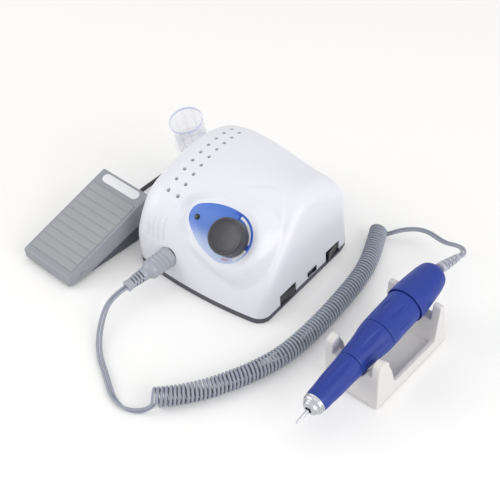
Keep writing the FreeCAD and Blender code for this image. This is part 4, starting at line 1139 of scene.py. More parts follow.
vents = []
for x, step in ((-42.5, 10.1), (-33, 9.8)):
    for y in (FIRST_VENT + step * index for index in range(9)):
        vents.append(prism(circle(VENT_RADIUS, 18, x, y), height_at(x, y) - VENT_DEPTH, 95))
carve(shell, tool("pad", prism(pad_outline, -6, 0.3), DIAL, SHELL), operation="UNION")
carve(shell, tool("above_pad", prism(drop_outline(PANEL_GROW + 0.05), 0, 25), DIAL, SHELL))
# The vents' walls take the painted shade.
carve(shell, tool("vents", joined(*vents), BOX, HOLE_SHADE))
RIGHT_WINDOWS = [slab((50, low, 2.25), (OUTSIDE, high, 13.75))
                 for low, high in ((-35.3, -13.7), (28.4, 48))]
# The slot's cut walls take the black finish as painted shade.
carve(shell, tool("windows", joined(*RIGHT_WINDOWS), BOX, SHELL),
      tool("slot", slab((57, 2.3, 6.3), (OUTSIDE, 14.3, 10.7)), BOX, BLACK),
      round_tool("socket_hole", 8.88, -14, 12, PLUG @ seat((0, 0, 0), pitch=90), SHELL, 48),
      tool("rear_holes", joined(slab((25.5, 44, 15.5), (50.5, 62, 32.5)),
                                slab((2, 44, 8), (10, 62, 16))), BOX, SHELL))
finish_piece(shell, "root", SHELL, angle=50)
shell.data.materials.clear()
for finish in (SHELL, HOLE_SHADE, BLACK):
    shell.data.materials.append(finish.material)
print("shell has", len(shell.data.polygons), "faces after cutting")

# %% [markdown]
# ## Base tray
# The dark tray closes the box from below and shows as a fine line under the shell.
# Its outline is the shell's own foot, let out by a fraction of a millimetre, with
# the rear corners rounded. The windows of the switches cut into it as well.

# %% Tray
def rounded_outline(outline, radius, steps=3, closed=False):
    """The same outline with each corner turned into a small arc."""
    points = []
    count = len(outline)
    for index, corner in enumerate(outline):
        if not closed and index in (0, count - 1):
            points.append(tuple(corner))
            continue
        here = Vector(corner)
        back = Vector(outline[index - 1]) - here
        ahead = Vector(outline[(index + 1) % count]) - here
        setback = min(radius, back.length * 0.45, ahead.length * 0.45)
        start, end = here + back.normalized() * setback, here + ahead.normalized() * setback
        for step in range(steps + 1):
            t = step / steps
            points.append(tuple(start * (1 - t) ** 2 + here * 2 * t * (1 - t) + end * t * t))
    return points


def offset_outline(outline, shift):
    """A closed outline moved outwards (or inwards, if negative)."""
    spots = [Vector(point) for point in outline]
    area = sum(a.x * b.y - b.x * a.y for a, b in zip(spots, spots[1:] + spots[:1]))
    side = 1 if area > 0 else -1
    moved = []
    for index, spot in enumerate(spots):
        run = (spots[(index + 1) % len(spots)] - spots[index - 1]).normalized()
        moved.append(tuple(spot + Vector((run.y, -run.x)) * shift * side))
    return moved


def pillow(outline, low, high, rim):
    """A block whose top edge is drawn in by two small steps."""
    rings = [(low, 0.0), (high - rim, 0.0), (high - rim * 0.3, -rim * 0.3), (high, -rim)]
    points = [(a, b, level) for level, shift in rings for a, b in offset_outline(outline, shift)]
    count = len(outline)
    faces = grid_faces(len(rings), count, wrap_columns=True)
    faces.append(tuple(range(count)))
    faces.append(tuple(range(len(points) - count, len(points))))
    return points, faces


TRAY_GROW = 0.15
rear_right = rounded_outline([(64.8, 20), (64.6, 51.4), (63, 59.4)], 3)
rear_left = rounded_outline([(-63, 59.4), (-65, 51.4), (-65, 20)], 3)
tray_outline = [point.xy for point in GRID[0][::3]] + rear_right[1:] + rear_left[:-1]
tray = piece("base_shell", *pillow(offset_outline(tray_outline, TRAY_GROW), 0.1, 4.98, 0.3),
             BOX, "root", TRAY, ["base_tray"])
carve(tray, tool("tray_windows", joined(*RIGHT_WINDOWS), BOX, TRAY))
finish_piece(tray, "root", TRAY)
print("tray outline has", len(tray_outline), "points")

# %% [markdown]
# ## The printed panel
# A thin film in the drop-shaped seat carries the print: deep blue that breaks into
# ever smaller dots towards the lower left, two white bands around the knob and dark
# blocks between them. The print is worked out in the shader from the distance and
# the angle to the ring's centre, so every edge stays sharp at any zoom.

# %% Panel
def local_axes(finish, unit):
    """The three coordinates of a unit, in millimetres, as wires."""
    wires = []
    for index in range(3):
        axis = unit.col[index].xyz
        dot = finish.node("ShaderNodeVectorMath", {"operation": "DOT_PRODUCT"},
                          {0: finish.place, 1: list(axis)}, output=1)
        wires.append(dot * TO_MM - axis.dot(unit.translation))
    return wires


def panel_finish():
    """Blue film that breaks into dots, with a frame and two dark blocks at the bands."""
    finish = Finish("panel_print", "panel_blue")
    u, v, _ = local_axes(finish, DIAL @ seat((RING_X, 0, 0)))
    distance = (u * u + v * v).maths("POWER", u * u + v * v, 0.5)
    angle = u.maths("ARCTAN2", v, u)
    fade = (v * -1.0).within(-1, 15)
    dots = u.maths("SINE", u * 6.3 + v * 2.0) * u.maths("SINE", v * 6.3 - u * 2.0)
    solid = (dots * 0.5 + 0.5 - fade * 1.15 + 0.12).within(-0.06, 0.06)
    cloud = finish.noise(60.0)
    deep = finish.mix(cloud, paint(44, 98, 196), paint(60, 116, 208))
    base = finish.mix(solid, paint(184, 200, 231), deep)
    beyond_bands = (distance - 18.0).within(0, 0.25)
    upper_right = (angle - 0.03).within(0, 0.02) * (1.9 - angle).within(0, 0.3)
    base = finish.mix(beyond_bands * upper_right, base, paint(36, 84, 184))
    blocks = [(angle - first).within(0, 0.01) * (last - angle).within(0, 0.01)
              for first, last in ((-0.19, 0.05), (1.42, 1.52))]
    inside = (19.9 - distance).within(0, 0.12)
    base = finish.mix((blocks[0] + blocks[1]) * inside, base, paint(16, 56, 160))
    finish.set(Base_Color=base, Roughness=cloud * 0.1 + 0.32)
    finish.set(Coat_Weight=0.2, Coat_Roughness=0.15)
    finish.bump(finish.noise(1800.0, 2.0), 0.004)
    return finish


PANEL = panel_finish()
WHITE_PRINT = moulded("white_print", "white_print", paint(236, 238, 242), 0.4, 0.004, 1800.0)
panel = piece("panel_film", *pillow(drop_outline(0), 0.02, 0.6, 0.2), DIAL, "root", PANEL,
              ["dial_panel"])
carve(panel, round_tool("bush_room", 3.6, -2, 3, DIAL, PANEL, 40),
      round_tool("lens_room", 2.15, -2, 3, DIAL @ seat((-35.9, 3.4, 0)), PANEL, 32))
finish_piece(panel, "root", PANEL)
print("panel film has", len(panel.data.polygons), "faces")


def words(name, text, size, place, turn, body, finish):
    """Short generic lettering as a thin raised print."""
    data = bpy.data.curves.new(name, "FONT")
    data.body = text
    data.size = size * MM
    data.extrude = 0.03 * MM
    data.align_x = "CENTER"
    data.resolution_u = 3
    writer = stand(name + "_writer", data)
    graph = bpy.context.evaluated_depsgraph_get()
    mesh = bpy.data.meshes.new_from_object(writer.evaluated_get(graph))
    bpy.data.objects.remove(writer)
    rigid = Matrix.Translation(place.translation * MM) @ place.to_3x3().to_4x4()
    mesh.transform(rigid @ Matrix.Rotation(math.radians(turn), 4, "Z"))
    finish_piece(stand(name, mesh), body, finish)


RED_PRINT = moulded("red_print", "white_print", paint(196, 44, 48), 0.4, 0.004, 1800.0)
words("dial_word", "MAX", 2.9, DIAL @ seat((2.6, -17.6, 0.63)), 16, "root", RED_PRINT)

# %% [markdown]
# ## Lens and knob
# The lens is a clear dome of dark green plastic. The knob is turned: a short skirt, a
# wide rounded rim and a face that dips a little towards the middle, with a small
# raised dot as its pointer. Both are turned by a helper that works as a lathe does,
# and a function may change its radius on the way: so the grip gets its ring of fine
# grooves. A plain cylinder would miss the highlight that runs round the rim.

# %% Lens and knob
def lathe(name, outline, unit, body, finish, stands_for=(), steps=64, shape=None, angle=35,
          upright=False):
    """Turn (station, radius) pairs about the unit's X axis, or Z if upright.

    shape(station, radius, turn) may change a radius, for flutes and flats."""
    points = []
    for station, radius in outline:
        for index in range(steps):
            turn = 2 * math.pi * index / steps
            reach = shape(station, radius, turn) if shape else radius
            across, side = reach * math.cos(turn), reach * math.sin(turn)
            points.append((across, side, station) if upright else (station, across, side))
    faces = grid_faces(len(outline), steps, wrap_rows=True, wrap_columns=True)
    return piece(name, points, faces, unit, body, finish, stands_for, angle)


def wave(turn):
    """A smooth wave between 0 and 1, which is 1 at 0."""
    return 0.5 + 0.5 * math.cos(turn)


KNOB = moulded("knob_plastic", "knob_grey", paint(56, 54, 60), 0.34, 0.014, 1300.0)
LENS = moulded("lens_plastic", "lens_clear", paint(8, 34, 24), 0.12, 0.002)
LENS.set(Specular_IOR_Level=0.3, Coat_Weight=0.4, Coat_Roughness=0.05)
GRIP_GROOVES, GROOVE_DEPTH = 72, 0.09
bands = []
for first, last, inner, outer in ((2.8, 80, 16.9, 18.9), (-50, -10.6, 16.6, 19.6)):
    turns = np.radians(np.linspace(first, last, 25))
    bands.append(prism(arc(outer, turns, RING_X) + arc(inner, turns[::-1], RING_X), 0.55, 0.68))
piece("dial_bands", *joined(*bands), DIAL, "root", WHITE_PRINT, ["dial_arcs"])
lathe("lens_dome", [(-5, 0), (-5, 1.9), (0.55, 1.9), (0.6, 2.4), (0.9, 2.35), (1.3, 1.8),
                    (1.5, 1.0), (1.56, 0)], DIAL @ seat((-35.7, 3.3, 0)), "root", LENS,
      ["indicator_lens"], steps=40, upright=True)
knob_outline = rounded_outline(
    [(1, 3), (1, 14.4), (1.4, 14.8), (11, 14.9), (13.3, 14.4), (13.4, 13.4), (12.3, 10.6),
     (11.6, 5)], 1.1, steps=5) + [(11.45, 2.5), (11.4, 0), (9.5, 0), (9.5, 3)]


def knurl(station, radius, turn):
    """Fine grip grooves on the wall of the knob."""
    if radius <= 14.4:
        return radius
    share = smoothstep((station - 1.6) / 0.8) * smoothstep((10.8 - station) / 1.2)
    return radius - GROOVE_DEPTH * share * wave(GRIP_GROOVES * turn)


knob = lathe("knob_cap", knob_outline, DIAL, "knob", KNOB, ["speed_knob"],
             steps=4 * GRIP_GROOVES, shape=knurl, upright=True)
dome = [(0.3 * index, math.sqrt(max(0.81 - (0.3 * index) ** 2, 0))) for index in range(4)]
lathe("knob_dot", [(-0.4, 0), (-0.4, 0.9)] + dome, DIAL @ seat((-11, -5.2, 12.6)), "knob",
      KNOB, steps=24, upright=True)
print("knob has", len(knob.data.polygons), "faces")

# %% [markdown]
# ## Rockers and slider
# Two black rockers stand in the right wall, each with one half pushed in. They keep
# the shape of the CAD rocker, and a fine remesh that is then relaxed rounds all its
# edges, as on a moulding, where a bevel would fail at the many meetings. They carry
# thin raised marks: a bar and a disc on the power rocker, two arrow heads on the one
# that sets the direction. The slider between them has four grip ribs and runs in a
# slot lined in black: painted shade, without which the light plastic inside would show.

# %% Switches
def dress_node(name, finish):
    """Give a node that stays as it is its material."""
    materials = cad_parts[name].data.materials
    if not materials:
        materials.append(finish.material)
    for index in range(len(materials)):
        materials[index] = finish.material


def softened(name, source, voxel, rounds, body, finish, stands_for, prepare=None):
    """A copy of a node's solid with every edge rounded, as a mould leaves it.

    prepare(vertices) may move points of the solid first."""
    item = stand(name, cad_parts[source].data.copy())
    if prepare:
        prepare(item.data.vertices)
    remesh = item.modifiers.new("remesh", "REMESH")
    remesh.mode = "VOXEL"
    remesh.voxel_size = voxel * MM
    smooth = item.modifiers.new("smooth", "SMOOTH")
    smooth.factor = 0.5
    smooth.iterations = rounds
    apply_modifiers(item)
    return finish_piece(item, body, finish, stands_for, angle=60)


MARKS = moulded("silver_print", "white_print", paint(205, 206, 210), 0.35, 0.004, 1800.0)
for name in ("power_switch", "direction_switch", "slide_switch"):
    dress_node(name, BLACK)
# Along a rocker's own X axis: where its marks stand, where its outer part begins,
# and by how much that part is drawn out.
ROCKER_FACE, ROCKER_OUTER, ROCKER_GAIN = 5.4, 1.5, 1.5


def rocker(name, y, tilt):
    """A softened rocker, its outer part drawn out a little; returns its unit."""
    cap = softened(name + "_cap", name, 0.34, 3, name, BLACK, [name])
    unit = BOX @ seat((58.5, y, 8), yaw=tilt)
    reach = unit.col[0].xyz * ROCKER_GAIN * MM
    for vertex in cap.data.vertices:
        if (unit.inverted() @ (vertex.co / MM)).x > ROCKER_OUTER:
            vertex.co += reach
    print(cap.name, len(cap.data.polygons), "faces")
    return unit


def mark(name, outline, unit, body, lean):
    """A thin raised mark on a rocker's sloping face."""
    face = unit @ seat((ROCKER_FACE, 0, 0), yaw=lean)
    piece(name, *prism(outline, 0, 0.09, along_x=True), face, body, MARKS)


power_unit = rocker("power_rocker", -24.5, -8)
mark("power_bar", [(5.2, -1.7), (5.75, -1.7), (5.75, 1.7), (5.2, 1.7)], power_unit,
     "power_rocker", -3.86)
mark("power_ring", circle(1.5, 24, -5.2), power_unit, "power_rocker", 3.86)
direction_unit = rocker("direction_rocker", 38.2, 8)
for index, side in enumerate((-1, 1)):
    arrow = [(side * 3.2, 1.7), (side * 6.2, 0), (side * 3.2, -1.7)]
    mark("direction_arrow_%d" % (index + 1), arrow, direction_unit, "direction_rocker",
         -side * 4.3)
serrated = [(57.4, 2.8), (57.4, 7.8)]
for index in range(4):
    y = 7.5 - 1.2 * index
    serrated += [(65.0, y + 0.2), (65.0, y - 0.35), (64.3, y - 0.55), (64.3, y - 0.85)]
serrated.append((64.6, 2.8))
piece("slider_cap", *prism(serrated, 6.6, 10.0), BOX, "mode_slider", BLACK, ["mode_slider"], 30)
# Black sheets lining the slot's walls: painted shade, where the light plastic inside the box would
# show.
slot_shade_parts = [slab((57.1, 2.3, 6.3), (64.9, 14.3, 6.5)), slab((57.1, 2.3, 10.5), (64.9, 14.3, 10.7)),
         slab((57.1, 2.3, 6.5), (64.9, 2.5, 10.5)), slab((57.1, 14.1, 6.5), (64.9, 14.3, 10.5)),
         slab((57.1, 2.5, 6.5), (57.3, 14.1, 10.5))]
piece("slot_painted_shade", *joined(*slot_shade_parts), BOX, "root", BLACK)
print("switches are in")

# %% [markdown]
# ## Plug of the handpiece's cord
# A moulded grey-blue plug with soft ribs, 3.6 mm apart, sits in a black ring. Behind
# its shoulder comes a slotted cone that lets the cord bend. The plug is turned on a
# lathe in code; the staggered slots are cut with small blocks, so they catch light at
# their edges, and their walls are painted dark as painted shade inside them.

# %% Plug
RING_SCALE, RING_SHADE, RING_SPREAD = 9.0, 0.86, 0.16


def metal(name, slot, colour, rough, lines=0.01, axis=0):
    """Turned metal: fine rings around the axis it was turned on."""
    finish = Finish(name, slot)
    rings = finish.node("ShaderNodeTexNoise", {"noise_dimensions": "1D"},
                        {"W": finish.along(axis) * RING_SCALE, "Detail": 2.0})
    darker = [level * RING_SHADE for level in colour[:3]] + [1.0]
    finish.set(Base_Color=finish.mix(rings, darker, colour), Metallic=1.0)
    finish.set(Roughness=rings * RING_SPREAD + (rough - RING_SPREAD / 2))
    finish.bump(rings, lines)
    return finish


PLUG_GREY = moulded("plug_plastic", "plug_grey_blue", paint(164, 169, 179), 0.3, 0.01, 1300.0)
PINS = metal("pin_metal", "brass", paint(206, 178, 112), 0.3)
# Painted shade: the walls of the cone's slots take this near black.
CONE_SLOT_SHADE = moulded("cone_slot_shade", "plug_grey_blue", paint(30, 32, 40), 0.7)
SLOT_END = 7
SOCKET_GREY = moulded("socket_plastic", "black_plastic", paint(64, 64, 68), 0.4, 0.012, 1200.0)
lathe("socket_ring", [(-14, 0), (-14, 8.75), (-3.4, 8.75), (-3.4, 6.9), (-10, 6.9), (-10, 0)],
      PLUG, "root", SOCKET_GREY, ["handpiece_socket"], steps=64)
dress_node("plug_pins", PINS)
RIB_PITCH, RIB_DEPTH = 3.6, 0.8
plug_outline = [(-9, 5.6), (-9, 6.6), (-3, 6.6), (-3, 8.2), (-2.6, 8.6), (0, 8.65)]
for station in np.arange(1.8, 16.1, 0.4):
    groove = wave(2 * math.pi * (station - 3.4) / RIB_PITCH) ** 1.5
    plug_outline.append((float(station), 8.75 - 0.02 * station - RIB_DEPTH * groove))
plug_outline += [(18.8, 8.0), (19.7, 7.3), (20.5, 6.5), (21, 6.0), (22, 5.6), (22, 0), (-2, 0),
                 (-2, 5.6)]
plug = lathe("plug_grip", plug_outline, PLUG, "root", PLUG_GREY, ["plug_body"], steps=96)


def flats(station, radius, turn):
    """Two flats on the cone, to its left and right."""
    limit = 4.5 if station > 23.5 else 9.0
    reach = limit / max(abs(math.cos(turn)), 1e-6)
    return min(radius, reach) if station < 38.5 else radius


def slot_pair(item, station, width, half, near, unit, finish, across_y):
    """Cut two facing slots into a sleeve, from a depth near its axis to the open air."""
    blocks = []
    for side in (-1, 1):
        low, high = sorted((side * near, side * SLOT_END))
        first, last = ((-half, low), (half, high)) if across_y else ((low, -half), (high, half))
        blocks.append(slab((station, *first), (station + width, *last)))
    carve(item, tool("slots", joined(*blocks), unit, finish))


cone = rounded_outline([(22, 0), (22, 5.58), (31, 4.95), (38, 4.2), (38.5, 4.7), (41, 4.7),
                        (41.6, 4.1), (41.6, 0)], 0.4, 2)
boot = lathe("plug_cone", cone, PLUG, "root", PLUG_GREY, ["plug_boot"], steps=96, shape=flats)
for station in (26.0, 28.8, 31.6, 34.4):
    slot_pair(boot, station, 1.5, 4.9, 1.9, PLUG, CONE_SLOT_SHADE, across_y=True)
for station in (27.4, 30.2, 33.0):
    slot_pair(boot, station, 1.1, 1.4, 3.4, PLUG, CONE_SLOT_SHADE, across_y=False)
finish_piece(boot, "root", PLUG_GREY, angle=35)
print("plug cone has", len(boot.data.polygons), "faces")

# %% [markdown]
# ## The clear cup
# The cup holds bits and brushes. It is pressed from clear plastic with shallow
# flutes, thin walls and a rolled rim. Both walls are modelled and each lets most of
# the light through; where they overlap, as at the rim, the plastic looks milkier.

# %% Cup
FLUTES, FLUTE_DEPTH = 10, 0.16
WALL = 0.9
CUP_FOOT, CUP_FLARE, CUP_HEIGHT = 12.2, 2.3, 67


def clear_finish():
    """Thin clear plastic, milkier at the rim, the foot and on the ribs."""
    finish = Finish("clear_plastic", "cup_clear")
    across, side, height = local_axes(finish, CUP)
    turn = across.maths("ARCTAN2", side, across)
    rib = turn.maths("COSINE", turn * FLUTES).within(0.55, 1.0)
    rim = (height - 64.8).within(0, 0.8) + (1.6 - height).within(0, 0.8)
    finish.set(Base_Color=finish.mix(rim, paint(233, 235, 247), paint(198, 206, 236)))
    finish.set(Roughness=finish.noise(220.0) * 0.05 + 0.08)
    finish.set(Alpha=rim * 0.5 + rib * 0.1 + 0.14)
    finish.bump(finish.noise(90.0, 2.0), 0.005)
    return finish


CLEAR = clear_finish()
cup_wall = [(station, CUP_FOOT + CUP_FLARE * station / CUP_HEIGHT)
            for station in np.linspace(1.2, 65.2, 33)]
cup_outline = ([(0, 0), (0, 11.2), (0.4, 11.9)] + cup_wall
               + [(66.2, 14.5), (66.85, 14.35), (67, 14.05), (66.8, 13.75), (66, 13.6)]
               + [(station, radius - WALL) for station, radius in cup_wall[::-2]]
               + [(1.5, 10.6), (1.5, 0)])


def cup_flutes(station, radius, turn):
    """Shallow flutes that fade out towards the foot and the rim."""
    if radius < 0.1:
        return radius
    share = smoothstep((station - 3) / 5) * smoothstep((62 - station) / 4)
    return radius - FLUTE_DEPTH * share * wave(FLUTES * turn)


cup = lathe("cup_moulding", cup_outline, CUP, "cup", CLEAR, ["cup"], steps=224,
            shape=cup_flutes, upright=True)
HOLDER = moulded("holder_plastic", "shell_white", paint(238, 239, 248), 0.34, 0.006, 1500.0, 0.02)
HOLDER.set(Alpha=HOLDER.noise(20.0) * 0.04 + 0.1)
dress_node("cup_holder", HOLDER)
print("cup has", len(cup.data.polygons), "faces")

# %% [markdown]
# ## The handpiece
# Four turned pieces in satin blue, with dark seams between them, and a polished
# steel nose. Leaf-shaped flutes are pressed into the grip, the lock sleeve and the
# housing. Each is a dip in the lathe's radius that widens and narrows along the
# piece, which gives the pointed ends of the real ones.

# %% Handpiece
STATION_STEP = 0.8
END_ROUND = 0.35
SKIN_FROM = 7
TEETH, TOOTH_DEPTH = 10, 0.11
BLUE = moulded("blue_plastic", "hand_blue", paint(30, 55, 145), 0.42, 0.008, 1500.0, 0.06)
BLUE.set(Specular_IOR_Level=0.36)
STEEL = metal("turned_steel", "steel", paint(196, 198, 204), 0.22)


def leaves(low, high, count, depth, width, phase):
    """Pointed flutes between two stations, as a shape for the lathe."""
    def shape(station, radius, turn):
        t = (station - low) / (high - low)
        if not 0 < t < 1 or radius < SKIN_FROM:
            return radius
        half_width = width / 2 / radius * math.sin(math.pi * t) ** 0.8
        sector = 2 * math.pi / count
        off = (turn - phase + sector / 2) % sector - sector / 2
        share = 1 - min(abs(off) / max(half_width, 1e-6), 1)
        return radius - depth * smoothstep(share * 1.7) * math.sin(math.pi * t) ** 0.5
    return shape


def run_between(outline, step):
    """The outline with extra stations on its long runs, so that cuts come out clean."""
    points = []
    for (s0, r0), (s1, r1) in zip(outline, outline[1:]):
        count = max(int(abs(s1 - s0) / step), 1)
        points += [(s0 + (s1 - s0) * i / count, r0 + (r1 - r0) * i / count)
                   for i in range(count)]
    return points + [outline[-1]]


def skin_curve(stations):
    """Radii through given (station, radius) pairs, as a smooth curve."""
    first, last = stations[0][0], stations[-1][0]
    places = np.arange(first, last, STATION_STEP).tolist() + [last]
    xs, rs = zip(*stations)
    slopes = np.gradient(rs, xs)
    result = []
    for place in places:
        i = min(max(int(np.searchsorted(xs, place)) - 1, 0), len(xs) - 2)
        h = xs[i + 1] - xs[i]
        t = (place - xs[i]) / h
        value = ((2 * t ** 3 - 3 * t ** 2 + 1) * rs[i] + (t ** 3 - 2 * t ** 2 + t) * h * slopes[i]
                 + (-2 * t ** 3 + 3 * t ** 2) * rs[i + 1] + (t ** 3 - t ** 2) * h * slopes[i + 1])
        result.append((place, value))
    return result


def hand_piece(name, skin, bore, body, node, shape):
    """A turned shell: a smooth skin outside, small rounds at its ends, a bore inside."""
    (first, r_first), (last, r_last) = skin[0], skin[-1]
    outside = [(first, r_first - END_ROUND), (first + 0.1, r_first - 0.1)] + skin_curve(
        [(first + END_ROUND, r_first)] + skin[1:-1] + [(last - END_ROUND, r_last)])
    outside += [(last - 0.1, r_last - 0.1), (last, r_last - END_ROUND)]
    lathe(name, outside + bore, HAND, body, BLUE, [node], steps=240, shape=shape, angle=30)


hand_piece("grip_shell", [(21.1, 8.4), (24, 8.75), (30, 9), (38, 9.7), (46, 9.9), (54, 10.25),
                          (60.6, 10.6)],
           [(60.6, 7.95), (21.1, 7.3)], "handpiece", "front_grip",
           leaves(27, 58, 8, 0.75, 5.4, 0.2))
hand_piece("sleeve_shell", [(61, 10.6), (66, 11), (74, 11.8), (82, 12.75), (90, 13.7),
                            (93.1, 13.85)],
           [(93.1, 8.15), (61, 8.15)], "lock_sleeve", "lock_sleeve",
           leaves(63.5, 91, 8, 0.9, 5.8, 0.35))
hand_piece("housing_shell", [(93.5, 13.85), (98, 13.9), (110, 13.9), (122, 13.9), (126.2, 13.9)],
           [(126.2, 13.5), (140.3, 13.2), (140.3, 12.2), (97.5, 12.2), (97.5, 7.95), (93.5, 7.95)],
           "handpiece", "rear_housing", leaves(101, 118.5, 8, 0.8, 4.2, 0.35))
hand_piece("cap_shell", [(126.5, 15.05), (128, 15.1), (134, 14.9), (142, 14.35), (150, 13.55),
                         (157, 12.75), (161, 12.0)],
           [(162.5, 11.5), (164.2, 10.6), (165.6, 9.4), (166.8, 8.0), (168, 6.4), (169.2, 5.1),
            (170, 4.4), (170, 3), (167, 3), (161, 9.8), (141.3, 12.8), (140.5, 13.4), (132, 14.3),
            (126.5, 14.7)], "handpiece", "rear_cap", None)
nose_outline = rounded_outline(
    [(13.2, 2.6), (13.2, 4.2), (14.3, 5.85), (16.3, 6.3), (16.9, 7.4), (18, 8.2), (19.4, 8.28),
     (19.6, 8.05), (20, 8.05), (20.2, 8.3), (21.1, 8.3), (21.1, 6.2), (17, 4.2)], 0.4, 3)
lathe("nose_ring", nose_outline, HAND, "handpiece", STEEL, ["nose_cap"], steps=128, angle=25)


def burr_teeth(station, radius, turn):
    """Spiral cutting teeth on the bit's head."""
    if station > 8.4 or radius < 0.3:
        return radius
    return radius - TOOTH_DEPTH * wave(TEETH * (turn + station * 0.12))


bur_outline = run_between([(0, 0), (0.25, 0.5), (0.7, 0.8), (8.2, 1.22), (8.6, 1.25), (9.4, 1.175),
                           (40, 1.175), (40, 0)], 0.5)
lathe("bit", bur_outline, HAND, "spindle", STEEL, ["bur"], steps=80, shape=burr_teeth, angle=50)
print("handpiece pieces are turned")

# %% [markdown]
# ## Strain relief of the handpiece
# A light grey sleeve with staggered slots leads the cord out of the handpiece. Two
# rows of slots face alternate ways, so that it bends in every direction.

# %% Strain relief
RELIEF = moulded("relief_rubber", "boot_grey", paint(176, 179, 190), 0.5, 0.012, 1100.0)
# Painted shade: the walls of the relief's slots take this near black.
RELIEF_SLOT_SHADE = moulded("relief_slot_shade", "boot_grey", paint(26, 27, 34), 0.7)
relief_outline = rounded_outline([(-1.4, 0), (-1.4, 1.8), (3.8, 1.8), (3.8, 4.35), (12, 4.15),
                                  (33, 3), (33, 0)], 0.5, 3)
relief = lathe("relief_sleeve", relief_outline, BOOT, "handpiece", RELIEF, ["cord_boot"],
               steps=96)
for index in range(7):
    station = 8.0 + 3.1 * index
    radius = 4.2 - 0.05 * (station - 12)
    slot_pair(relief, station, 1.7, radius * 0.88, radius * 0.4, BOOT, RELIEF_SLOT_SHADE,
              across_y=index % 2 == 0)
finish_piece(relief, "handpiece", RELIEF, angle=35)
print("strain relief has", len(relief.data.polygons), "faces")

# %% [markdown]
# ## Cradle
# A moulded tray with two rounded ears in front, low rails and posts behind, in warm
# white plastic. Every edge of the mould has a small radius. Remeshing the solid into
# a fine even grid and relaxing it rounds all of them together, which bevelling
# cannot do where saddles and posts run into each other.

# %% Cradle
CRADLE_WHITE = moulded("cradle_plastic", "cradle_white", paint(219, 217, 215), 0.4, 0.012, 1200.0)
cradle = softened("cradle_moulding", "cradle", 0.55, 10, "root", CRADLE_WHITE, ["cradle"])
RUBBER = moulded("foot_rubber", "foot_rubber", paint(48, 48, 50), 0.75, 0.03, 700.0)
for name in ("cradle_feet", "rubber_feet", "pedal_feet"):
    dress_node(name, RUBBER)
print("cradle has", len(cradle.data.polygons), "faces")

# %% [markdown]
# ## Pedal
# The treadle is a hollow wedge over a darker base. Its top carries a thin mat of ten
# raised strips and, on the heel, a white plate, which is left bare here. The treadle
# keeps the CAD form with rounded edges; strips and plate are modelled as pads with
# real grooves between them. The heads of the hinge pin show on both sides.

# %% Pedal
PEDAL_GREY = moulded("pedal_plastic", "pedal_grey", paint(150, 153, 159), 0.45, 0.02, 900.0)
PEDAL_DARK = moulded("pedal_base_plastic", "pedal_dark", paint(90, 91, 101), 0.5, 0.02, 900.0)
MAT = moulded("mat_vinyl", "mat_grey", paint(160, 161, 165), 0.6, 0.05, 1100.0, 0.08)
# Painted shade: the sheet that shows in the grooves between the strips is a little darker than the
# strips.
MAT_GROOVE_SHADE = moulded("mat_groove_shade", "mat_grey", paint(146, 148, 152), 0.7)
PLATE = moulded("plate_white", "label_white", paint(234, 234, 238), 0.3, 0.004, 1500.0, 0.02)
TOE, KNEE, HEEL_END = (0.8, 12.3), (78.1, 37.8), (91.1, 42)
HEEL_INSIDE, HEEL_GAIN = 90.1, 1.1
STRIPS, STRIP_PITCH, STRIP_WIDTH = 10, 7.5, 7.05
PLATE_END = 4.2


def thicker_heel(vertices):
    """The heel's wall ends in a thin edge, so its inner face moves forward."""
    for vertex in vertices:
        if abs((PEDAL.inverted() @ (vertex.co / MM)).y - HEEL_INSIDE) < 0.08:
            vertex.co += PEDAL.to_3x3() @ Vector((0, -HEEL_GAIN * MM, 0))


def on_top(start, end):
    """A seat on the treadle's top, where its profile runs from one (y, z) to another."""
    return PEDAL @ seat((0, *start), roll=math.degrees(math.atan2(end[1] - start[1],
                                                                  end[0] - start[0])))


def round_box(low, high, radius):
    """The outline of a rectangle with rounded corners."""
    (x0, y0), (x1, y1) = low, high
    return rounded_outline([(x0, y0), (x1, y0), (x1, y1), (x0, y1)], radius, closed=True)


treadle = softened("treadle_moulding", "treadle", 0.5, 9, "treadle", PEDAL_GREY, ["treadle"],
                   thicker_heel)
TREAD, HEEL = on_top(TOE, KNEE), on_top(KNEE, HEEL_END)
strips = []
for index in range(STRIPS):
    low = 5.2 + STRIP_PITCH * index
    outline = round_box((-25.1, low), (25.1, low + STRIP_WIDTH), 0.35)
    strips.append(pillow(outline, 0.0, 0.6, 0.15))
piece("mat_sheet", *pillow(round_box((-25.6, 4.6), (25.6, 80.3), 1.2), -0.1, 0.35, 0.2), TREAD,
      "treadle", MAT_GROOVE_SHADE, ["treadle_mat"])
piece("mat_strips", *joined(*strips), TREAD, "treadle", MAT)
quarter = math.pi / 2
stadium = (arc(PLATE_END, np.linspace(-quarter, quarter, 17), 17, 7.4)
           + arc(PLATE_END, np.linspace(quarter, 3 * quarter, 17), -17, 7.4))
piece("bare_plate", *pillow(stadium, -0.1, 0.6, 0.2), HEEL, "treadle", PLATE, ["label_plate"])
head = [(0, 0), (0, 2.45), (0.35, 2.45), (0.48, 2.3), (0.4, 1.9), (0.42, 0)]
for side, turn in ((1, 0), (-1, 180)):
    lathe("pin_head", head, PEDAL @ seat((side * 27.6, 14.5, 7), yaw=turn), "root", PEDAL_GREY,
          steps=40)
for name, finish in (("pedal_base", PEDAL_DARK), ("hinge_pin", PEDAL_GREY), ("foot_switch", BLACK),
                     ("cord_gland", BLACK)):
    dress_node(name, finish)
print("treadle has", len(treadle.data.polygons), "faces")

# %% [markdown]
# ## What sits inside and behind
# The solids inside the box and the handpiece stay as the CAD made them. Each gets the
# finish of its stuff: sheet iron with fine layers, tinned copper, green board, plated
# steel. The sockets in the rear wall are black, like the jack plug.

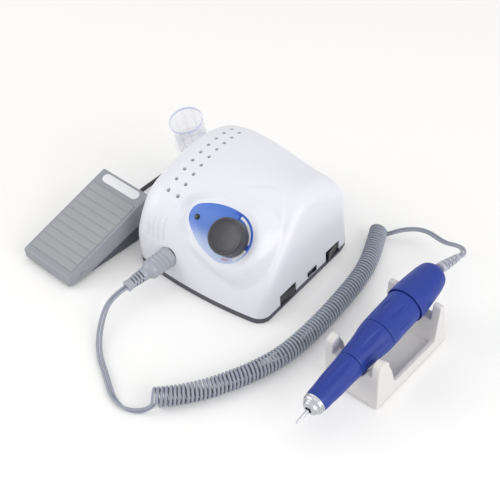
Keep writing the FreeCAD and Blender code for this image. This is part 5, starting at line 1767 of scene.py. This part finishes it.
# %% Inner parts
IRON = metal("core_iron", "core_iron", paint(110, 108, 106), 0.5, 0.03, 2)
GREEN = moulded("board_green", "board_green", paint(38, 96, 62), 0.4, 0.03, 500.0, 0.2)
SINK = metal("sink_aluminium", "sink_aluminium", paint(190, 192, 196), 0.35, 0.02, 0)
SLEEVE = moulded("cap_sleeve", "cap_sleeve", paint(40, 46, 92), 0.3)
COPPER = metal("copper_winding", "copper", paint(184, 112, 72), 0.35, 0.05, 1)
MAGNET = moulded("motor_grey", "motor_grey", paint(92, 92, 96), 0.5)
BRASS = metal("brass_parts", "brass", paint(190, 160, 96), 0.3)
ZINC = metal("zinc_steel", "steel", paint(176, 178, 182), 0.3)
INNER = {IRON: ["transformer"], GREEN: ["circuit_board"], SINK: ["heat_sink"],
         SLEEVE: ["capacitor"], COPPER: ["armature"], MAGNET: ["motor_magnets"],
         BRASS: ["brush_holder"], BLACK: ["power_inlet", "pedal_socket", "pedal_jack_plug"],
         ZINC: ["base_screws", "knob_shaft", "potentiometer", "spindle", "collet",
                "spindle_bearings", "rear_bearing", "inner_barrel"]}
for finish, names in INNER.items():
    for name in names:
        dress_node(name, finish)
print("inner parts dressed:", sum(len(names) for names in INNER.values()))

# %% [markdown]
# ## Cords, dressed
# The twin lead is soft lilac-grey vinyl, the pedal's cord is black. Each rides on the
# root in place of the CAD's cords, which are hidden.

# %% Cords
CORD = moulded("cord_vinyl", "cord_lilac", paint(149, 155, 169), 0.4, 0.006, 1600.0, 0.03)
CORD.set(Coat_Weight=0.2, Coat_Roughness=0.25)
CORD_BLACK = moulded("pedal_cord_vinyl", "cord_black", paint(36, 36, 40), 0.42, 0.01, 1200.0)
for strand in strands:
    wear(strand, CORD)
    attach(strand, "root")
wear(pedal_cord, CORD_BLACK)
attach(pedal_cord, "root")
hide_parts("plug_lead", "curly_cord", "handpiece_tail")
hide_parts("pedal_cord", "pedal_cord_coil", "jack_cord")
tuple(boot_end * MM)
tuple(boot_end * MM)
tuple(gland_end * MM)

# %% [markdown]
# Both boxes, of the solids and of the dressed model, are worked out here, and the
# dressed one is printed. The dressed model has to stay inside the box of the
# solids.

# %% Sizes
low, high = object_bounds()
sizes = {"cad": [list(cad_low), list(cad_high)], "dressed": [list(low), list(high)]}
print("dressed box:", sizes["dressed"])
